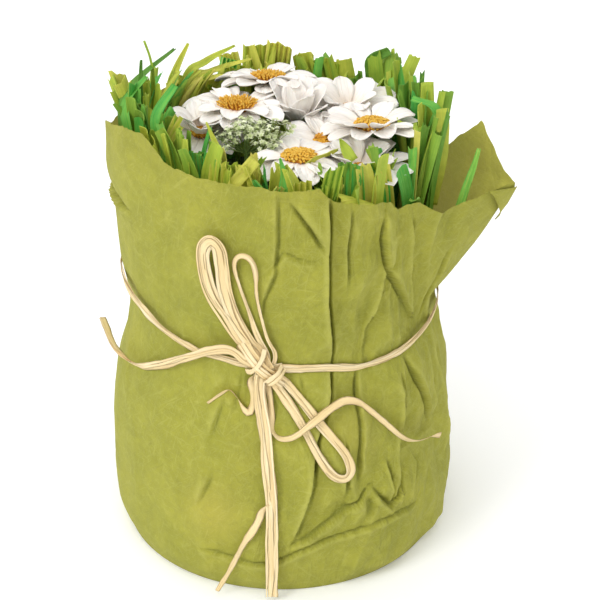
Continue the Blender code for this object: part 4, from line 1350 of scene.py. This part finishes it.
def add_petal(gather, place, turned, around, base, length, width, pitch, droop, twist, cup, shade, lift=0.0):
    """One petal of a head, growing outwards at the angle called around, in degrees."""
    rows, columns = 15, 9
    t = np.linspace(0.0, 1.0, rows)
    u = np.linspace(-1.0, 1.0, columns)
    seed = around * 0.37 + length + place[0]
    angle = np.radians(pitch + droop * t ** 1.3)
    step = length / (rows - 1)
    x = base + np.concatenate([[0.0], np.cumsum(np.cos(angle[:-1]) * step)])
    z = lift + np.concatenate([[0.0], np.cumsum(np.sin(angle[:-1]) * step)])
    grow = np.clip(t / 0.62, 0, 1)
    swell = 0.34 + 0.66 * grow * grow * (3 - 2 * grow)
    tip = np.sqrt(np.clip(1 - (np.clip((t - 0.6) / 0.4, 0, 1)) ** 2.3, 0.0, 1))
    half = width / 2 * swell * np.maximum(tip, 0.06)
    edge = 1 + 0.06 * soft_noise(t[:, None] * 5.0, u[None, :] * 1.5 + seed, 71.0)
    across = u[None, :] * half[:, None] * edge
    crease = 0.3 * np.cos(u[None, :] * 7.5 + seed) * (0.4 + 0.6 * t[:, None]) * (half[:, None] / (width / 2))
    uneven = 0.35 * soft_noise(t[:, None] * 3.0 + seed, u[None, :] * 1.3, 73.0) * t[:, None]
    rise = cup * across ** 2 / width + crease + uneven
    notch = -0.05 * length * np.exp(-(u[None, :] / 0.28) ** 2) * np.clip((t[:, None] - 0.85) / 0.15, 0, 1)
    turn_rows = np.radians(twist) * t[:, None]
    y = across * np.cos(turn_rows) - rise * np.sin(turn_rows)
    up = across * np.sin(turn_rows) + rise * np.cos(turn_rows)
    px = x[:, None] - np.sin(angle)[:, None] * up + notch
    pz = z[:, None] + np.cos(angle)[:, None] * up
    spin = math.radians(around)
    local = np.stack([
        px * math.cos(spin) - y * math.sin(spin), px * math.sin(spin) + y * math.cos(spin), pz,
    ], axis=-1)
    uv = np.stack(np.broadcast_arrays(across + seed * 17.0, t[:, None] * length), axis=-1)
    gather.add_grid(place + local @ turned.T, uv, shade)


# %% [markdown]
# A middle is a low cushion set with many small upright filaments. They follow the spiral that a real daisy
# shows, each turned by the golden angle from the last. Short thick ones read as grains, long thin ones as
# hairs.

# %% Make the middles
def add_filament(gather, foot, tip, thick, shade):
    """A four-sided hair from foot to tip, a little fatter at its end."""
    axis = unit(tip - foot)
    side = unit(np.cross(axis, [0.3, 0.5, 0.8]))
    other = np.cross(axis, side)
    corners = [side, other, -side, -other]
    rows = []
    for share, size in ((0.0, 0.7), (0.6, 0.8), (0.85, 1.25), (1.0, 0.6)):
        rows.append([foot + (tip - foot) * share + c * thick * size / 2 for c in corners])
    points = np.array(rows)
    length = float(np.linalg.norm(tip - foot))
    along = np.linspace(0, length, 4)[:, None]
    uv = np.stack(np.broadcast_arrays(np.arange(4)[None, :] * thick + foot[0], along + foot[1]), axis=-1)
    # Painted shade: the hair is darker at its foot, deep down between the others, and paler at its tip.
    level = np.clip(shade + np.array([-0.35, -0.1, 0.12, 0.15])[:, None], 0, 1)
    index = gather.add_grid(points, uv, level, closed=True)
    gather.add_cap(index[-1])


CUSHION_RINGS = {
    # rings of the cushion under the middle, as shares of its radius: (radius, height)
    "grains": [(0.96, 0.0), (0.816, 0.15), (0.48, 0.275)],
    "hairs": [(0.96, -0.05), (0.912, 0.0), (0.576, 0.05)],
}


def make_middle(name, place, turned, radius, kind, lift, brown=0.0):
    """The disc of a head: upright filaments, or a dome of grains."""
    rng = random.Random(name)
    gather = Gather()
    around = np.linspace(0, 2 * math.pi, 21)[:-1]
    base = np.array([
        [(r * radius * math.cos(a), r * radius * math.sin(a), lift + h * radius) for a in around]
        for r, h in CUSHION_RINGS[kind]
    ])
    uv = np.stack([base[..., 0], base[..., 1]], axis=-1)
    # The cushion under the filaments gets a low shade, so it is browner: painted shade deep down between
    # them.
    index = gather.add_grid(place + base @ turned.T, uv, 0.15)
    for lower, upper in zip(index, index[1:]):
        gather.faces.append([lower[-1], lower[0], upper[0], upper[-1]])
    gather.add_cap(index[-1])
    count = 150 if kind == "grains" else 170
    for i in range(count):
        share = math.sqrt((i + 0.5) / count)
        angle = i * 2.39996 + rng.uniform(-0.12, 0.12)
        at = np.array([math.cos(angle), math.sin(angle), 0.0]) * share * radius
        shade = 0.62 + rng.uniform(-0.2, 0.2) - brown
        if kind == "grains":
            foot = at + np.array([0, 0, lift + 0.27 * radius * (1 - share ** 2.4) - 0.3])
            tip = foot + np.array([at[0] * 0.10, at[1] * 0.10, 1.35 + rng.uniform(-0.2, 0.3)])
            thick = 1.15
        else:
            foot = at * 0.8 + np.array([0, 0, lift])
            fan = 0.16 + 0.22 * share ** 2
            tall = 2.9 * rng.uniform(0.8, 1.12)
            tip = foot + np.array([at[0] * fan, at[1] * fan, tall * (1.0 - 0.3 * share ** 3)])
            thick = 0.62
        add_filament(gather, place + turned @ foot, place + turned @ tip, thick, shade)
    return gather


# %% [markdown]
# Nine heads stand at different heights. The one at the back and the one at the left have middles of fine
# upright hairs, the others have grainy ones. One in the middle is half closed, its petals standing up.

# %% Where the heads stand
HEADS = {
    # name: place, tilt, its azimuth, outer petals (count, length, width, pitch, droop), inner petals, middle
    "back": (
        (-5.2, 32.7, 184.5), 10.0, 90.0, (11, 19.5, 9.6, 5.0, -14.0), (7, 15.5, 8.4, 12.0, -12.0),
        ("hairs", 6.4, 0.0),
    ),
    "left": (
        (-17.2, 5.2, 185.0), 5.0, 90.0, (12, 19.5, 9.6, 4.0, -16.0), (8, 15.5, 8.6, 11.0, -12.0),
        ("hairs", 7.4, 0.0),
    ),
    "right": (
        (36.4, -6.5, 182.0), 5.0, 90.0, (11, 19.0, 9.6, 10.0, -16.0), (8, 16.5, 8.8, 20.0, -8.0),
        ("grains", 7.0, 0.0),
    ),
    "centre": (
        (18.5, -12.0, 177.0), 16.0, -60.0, (10, 17.5, 9.2, 10.0, -14.0), (6, 13.0, 7.8, 16.0, -12.0),
        ("grains", 5.2, 0.3),
    ),
    "front": (
        (7.5, -30.5, 180.0), 3.0, 90.0, (12, 19.0, 9.6, 0.0, -26.0), (8, 15.5, 8.6, 8.0, -20.0),
        ("grains", 6.4, 0.0),
    ),
    "cupped": (
        (7.0, 10.5, 174.5), 0.0, 0.0, (6, 20.0, 12.0, 56.0, -10.0), (4, 17.5, 10.4, 76.0, 0.0),
        ("grains", 3.6, 0.3),
    ),
    "back_right": (
        (27.5, 18.6, 176.5), 5.0, -120.0, (10, 19.0, 10.2, 30.0, -26.0), (6, 15.0, 9.0, 50.0, -16.0),
        ("grains", 4.6, 0.3),
    ),
    "low_left": (
        (-31.5, -3.0, 177.0), 5.0, -90.0, (10, 18.0, 9.4, 8.0, -24.0), (7, 14.5, 8.6, 58.0, -30.0),
        ("grains", 3.6, 0.2),
    ),
    "low_front_right": (
        (31.0, -26.0, 172.0), 5.0, -60.0, (11, 19.5, 10.2, 30.0, -26.0), (8, 16.0, 9.4, 52.0, -24.0),
        ("grains", 4.0, 0.3),
    ),
}
print("heads:", len(HEADS))

# %% [markdown]
# A head is an outer whorl of petals, a smaller and steeper whorl on top of it, and the middle. No two petals
# are the same size, and each is set a little off its even place round the middle.

# %% Make the heads
for name, (place, tilt, lean_azimuth, outer, inner, middle) in HEADS.items():
    rng = random.Random(name)
    centre, turned = head_axes(place, tilt, lean_azimuth)
    kind, middle_radius, brown = middle
    gather = Gather()
    for whorl, (count, length, width, pitch, droop) in enumerate((outer, inner)):
        first = rng.uniform(0, 360)
        for i in range(count):
            around = first + (i + rng.uniform(-0.16, 0.16)) * 360 / count
            add_petal(
                gather, centre, turned, around, middle_radius * 0.42,
                length * rng.uniform(0.9, 1.06), width * rng.uniform(0.88, 1.1), pitch + rng.uniform(-7, 7),
                droop + rng.uniform(-16, 10), rng.uniform(-16, 16), rng.uniform(0.25, 1.0), rng.random(),
                lift=0.5 * whorl,
            )
    piece = gather.build(f"daisy_{name}_whorls", petals, thickness=0.3)
    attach(piece, "root")
    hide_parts(f"daisy_{name}_petals")
    gather = make_middle(name, centre, turned, middle_radius, kind, 1.1, brown)
    piece = gather.build(f"daisy_{name}_middle", yellow)
    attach(piece, "root")
    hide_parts(f"daisy_{name}_disc")
    print(piece.name, "made with", outer[0] + inner[0], "petals round it")

# %% [markdown]
# ## The sprig of tiny blossoms
# Between the daisies a sprig of tiny green-white blossoms is pushed in, like bishop's weed. Thin twigs
# part from its stem and each ends in a bunch of florets, and a floret is a five-lobed cup barely 2 mm wide.

# %% The sprig's finish
florets, tree, shader, uv = new_material("florets", 0.8)
streaks = place_group(tree, streaks_group, uv, Across=0.9, Along=0.9)
color = color_ramp(tree, varied_shade(tree, streaks, 0.3), [
    (0.0, (0.18, 0.26, 0.06)), (0.3, (0.38, 0.47, 0.17)), (0.6, (0.62, 0.68, 0.38)),
    (0.9, (0.82, 0.85, 0.62)),
])
tree.links.new(color, shader.inputs["Base Color"])
vary_roughness(tree, shader, streaks.outputs["Fine"], 0.6, 0.9)
add_bump(tree, shader, streaks.outputs["Fine"], 0.0002)


# %% [markdown]
# The sprig is one low dome of bunches. Each bunch has a twig from the stem and a few florets round its own
# centre, and each floret is turned a little at random, from a fixed seed.

# %% Grow the sprig
def add_floret(gather, place, normal, size, shade):
    """A five-lobed cup facing along normal."""
    normal = unit(normal)
    side = unit(np.cross(normal, [0.2, 0.9, 0.3]))
    other = np.cross(normal, side)
    turn = np.linspace(0, 2 * math.pi, 11)[:-1]
    rows = []
    for share, up in ((0.12, 0.0), (0.6, 0.12), (1.0, 0.42)):
        lobe = share * size / 2 * (1.0 + 0.28 * share * np.cos(turn * 5))
        flat_ring = side * (lobe * np.cos(turn))[:, None] + other * (lobe * np.sin(turn))[:, None]
        rows.append(place + flat_ring + normal * up * size / 2)
    points = np.array(rows)
    uv = np.stack([points[..., 0] * 1.5, points[..., 1] * 1.5], axis=-1)
    level = np.clip(shade + np.array([-0.35, 0.0, 0.1])[:, None], 0, 1)
    index = gather.add_grid(points, uv, level, closed=True)
    gather.add_cap(index[0], flip=True)


SPRIG_LOW, SPRIG_HIGH = (np.array(corner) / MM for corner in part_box("sprig_florets"))
sprig_centre = (SPRIG_LOW + SPRIG_HIGH) / 2
rng = random.Random(31)
gather = Gather()
root = np.array([-13.0, -17.9, 176.0])
BUNCHES = 24
FLORETS_IN_BUNCH = 9
for bunch in range(BUNCHES):
    angle = bunch * 2.39996
    reach = math.sqrt((bunch + 0.5) / BUNCHES)
    knot_place = sprig_centre + np.array([
        14.0 * reach * math.cos(angle), 8.5 * reach * math.sin(angle),
        2.0 - 4.5 * reach ** 2 + rng.uniform(-3.5, 2.0),
    ])
    add_filament(gather, root, knot_place, 0.55, 0.1)
    for _ in range(FLORETS_IN_BUNCH):
        spread = np.array([rng.gauss(0, 1), rng.gauss(0, 1), abs(rng.gauss(0, 0.9)) + 0.3])
        tip = knot_place + unit(spread) * rng.uniform(2.0, 4.2)
        add_filament(gather, knot_place, tip, 0.3, 0.25)
        add_floret(gather, tip, spread + np.array([0, 0, 0.8]), rng.uniform(1.5, 2.5), rng.uniform(0.45, 0.9))
sprig = gather.build("sprig_blossoms", florets)
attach(sprig, "root")
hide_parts("sprig_florets")
print("sprig of", BUNCHES * FLORETS_IN_BUNCH, "florets")

# %% [markdown]
# ## What the model keeps
# The stems, the foam and the tub are plain parts and stay as the model has them, since little of them
# shows. They still get a finish of their own: green stems with fine lines, porous foam, and a matt tub.

# %% Finish the stems, the foam and the tub
def object_material(name, roughness):
    """A material that reads the object's own coordinates in millimetres, for parts without a UV map."""
    material = bpy.data.materials.new(name)
    material.use_nodes = True
    tree = material.node_tree
    shader = tree.nodes["Principled BSDF"]
    shader.inputs["Roughness"].default_value = roughness
    coordinates = tree.nodes.new("ShaderNodeTexCoord")
    return material, tree, shader, stretched(tree, coordinates.outputs["Object"], (1000.0, 1000.0, 1000.0))


stems, tree, shader, place = object_material("stem", 0.6)
streaks = place_group(tree, streaks_group, place, Across=1.5, Along=1.5)
color = color_ramp(tree, streaks.outputs["Streaks"], [(0.3, (0.09, 0.17, 0.03)), (0.7, (0.24, 0.34, 0.09))])
tree.links.new(color, shader.inputs["Base Color"])
add_bump(tree, shader, streaks.outputs["Fine"], 0.0002)

foam, tree, shader, place = object_material("floral_foam", 0.95)
clouds = place_group(
    tree, cloud_group, place, Scale=0.2, Pale=(0.045, 0.085, 0.022, 1), Deep=(0.015, 0.032, 0.008, 1),
)
pores = add_node(tree, "ShaderNodeTexVoronoi", sockets={"Scale": 1.4})
tree.links.new(place, pores.inputs["Vector"])
tree.links.new(clouds.outputs["Color"], shader.inputs["Base Color"])
add_bump(tree, shader, pores.outputs["Distance"], 0.0006)

tub, tree, shader, place = object_material("tub_plastic", 0.5)
clouds = place_group(
    tree, cloud_group, place, Scale=0.1, Pale=(0.06, 0.07, 0.035, 1), Deep=(0.04, 0.05, 0.025, 1),
)
tree.links.new(clouds.outputs["Color"], shader.inputs["Base Color"])
add_bump(tree, shader, clouds.outputs["Cloud"], 0.0001)

PLAIN_PARTS = {"_stem": (stems, "stem"), "foam_core": (foam, "floral_foam"), "base_tub": (tub, "tub_plastic")}
for node_name, node in nodes.items():
    for ending, (finish, slot) in PLAIN_PARTS.items():
        if node_name.endswith(ending):
            node.data.materials.clear()
            node.data.materials.append(finish)
print("plain parts finished")

# %% [markdown]
# ## The stage
# A wide pale floor and a nearly white surround give the even light of a product table. The key lamp at the
# front left makes the creases readable, a soft one above lights the heads, and a weak one from the back left
# reaches the inner side of the loose corner.

# %% Floor, surround and lamps
floor_material, tree, shader, place = object_material("stage_floor", 0.9)
shader.inputs["Base Color"].default_value = (0.92, 0.92, 0.92, 1.0)
shader.inputs["Emission Color"].default_value = (1.0, 1.0, 1.0, 1.0)
shader.inputs["Emission Strength"].default_value = 0.12
floor_mesh = bpy.data.meshes.new("stage_floor")
FLOOR_HALF = 4.0
FLOOR_LEVEL = -0.0002   # just under the wrapper's foot
around_floor = [(-FLOOR_HALF, -FLOOR_HALF), (FLOOR_HALF, -FLOOR_HALF), (FLOOR_HALF, FLOOR_HALF),
                (-FLOOR_HALF, FLOOR_HALF)]
floor_corners = [(x, y, FLOOR_LEVEL) for x, y in around_floor]
floor_mesh.from_pydata(floor_corners, [], [(0, 1, 2, 3)])
floor_mesh.materials.append(floor_material)
floor = bpy.data.objects.new("stage_floor", floor_mesh)
bpy.context.scene.collection.objects.link(floor)
floor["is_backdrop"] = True

world = bpy.data.worlds.new("surround")
world.use_nodes = True
world.node_tree.nodes["Background"].inputs["Color"].default_value = (1.0, 1.0, 1.0, 1.0)
world.node_tree.nodes["Background"].inputs["Strength"].default_value = 0.88
bpy.context.scene.world = world


def add_lamp(name, direction, spread, power):
    """A far lamp that shines along direction. A wide spread, in degrees, makes its shadows soft."""
    light = bpy.data.lights.new(name, "SUN")
    light.angle = math.radians(spread)
    light.energy = power
    lamp = bpy.data.objects.new(name, light)
    lamp.rotation_euler = Vector(direction).to_track_quat("-Z", "Y").to_euler()
    bpy.context.scene.collection.objects.link(lamp)
    lamp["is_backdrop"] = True


add_lamp("key", (0.62, 0.62, -0.62), 20.0, 0.95)
add_lamp("top", (0.1, 0.45, -1.0), 40.0, 0.5)
add_lamp("back", (0.45, -0.4, -0.8), 50.0, 0.35)
bpy.context.scene.view_settings.view_transform = "Standard"
print("stage set")

# Both boxes are written down so that they can be compared.

# %% Write both boxes and finish
SHOWN_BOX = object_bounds()
for label, (low, high) in (("model", CAD_BOX), ("shown", SHOWN_BOX)):
    print(label, [round(v * 1000, 1) for v in low], [round(v * 1000, 1) for v in high])
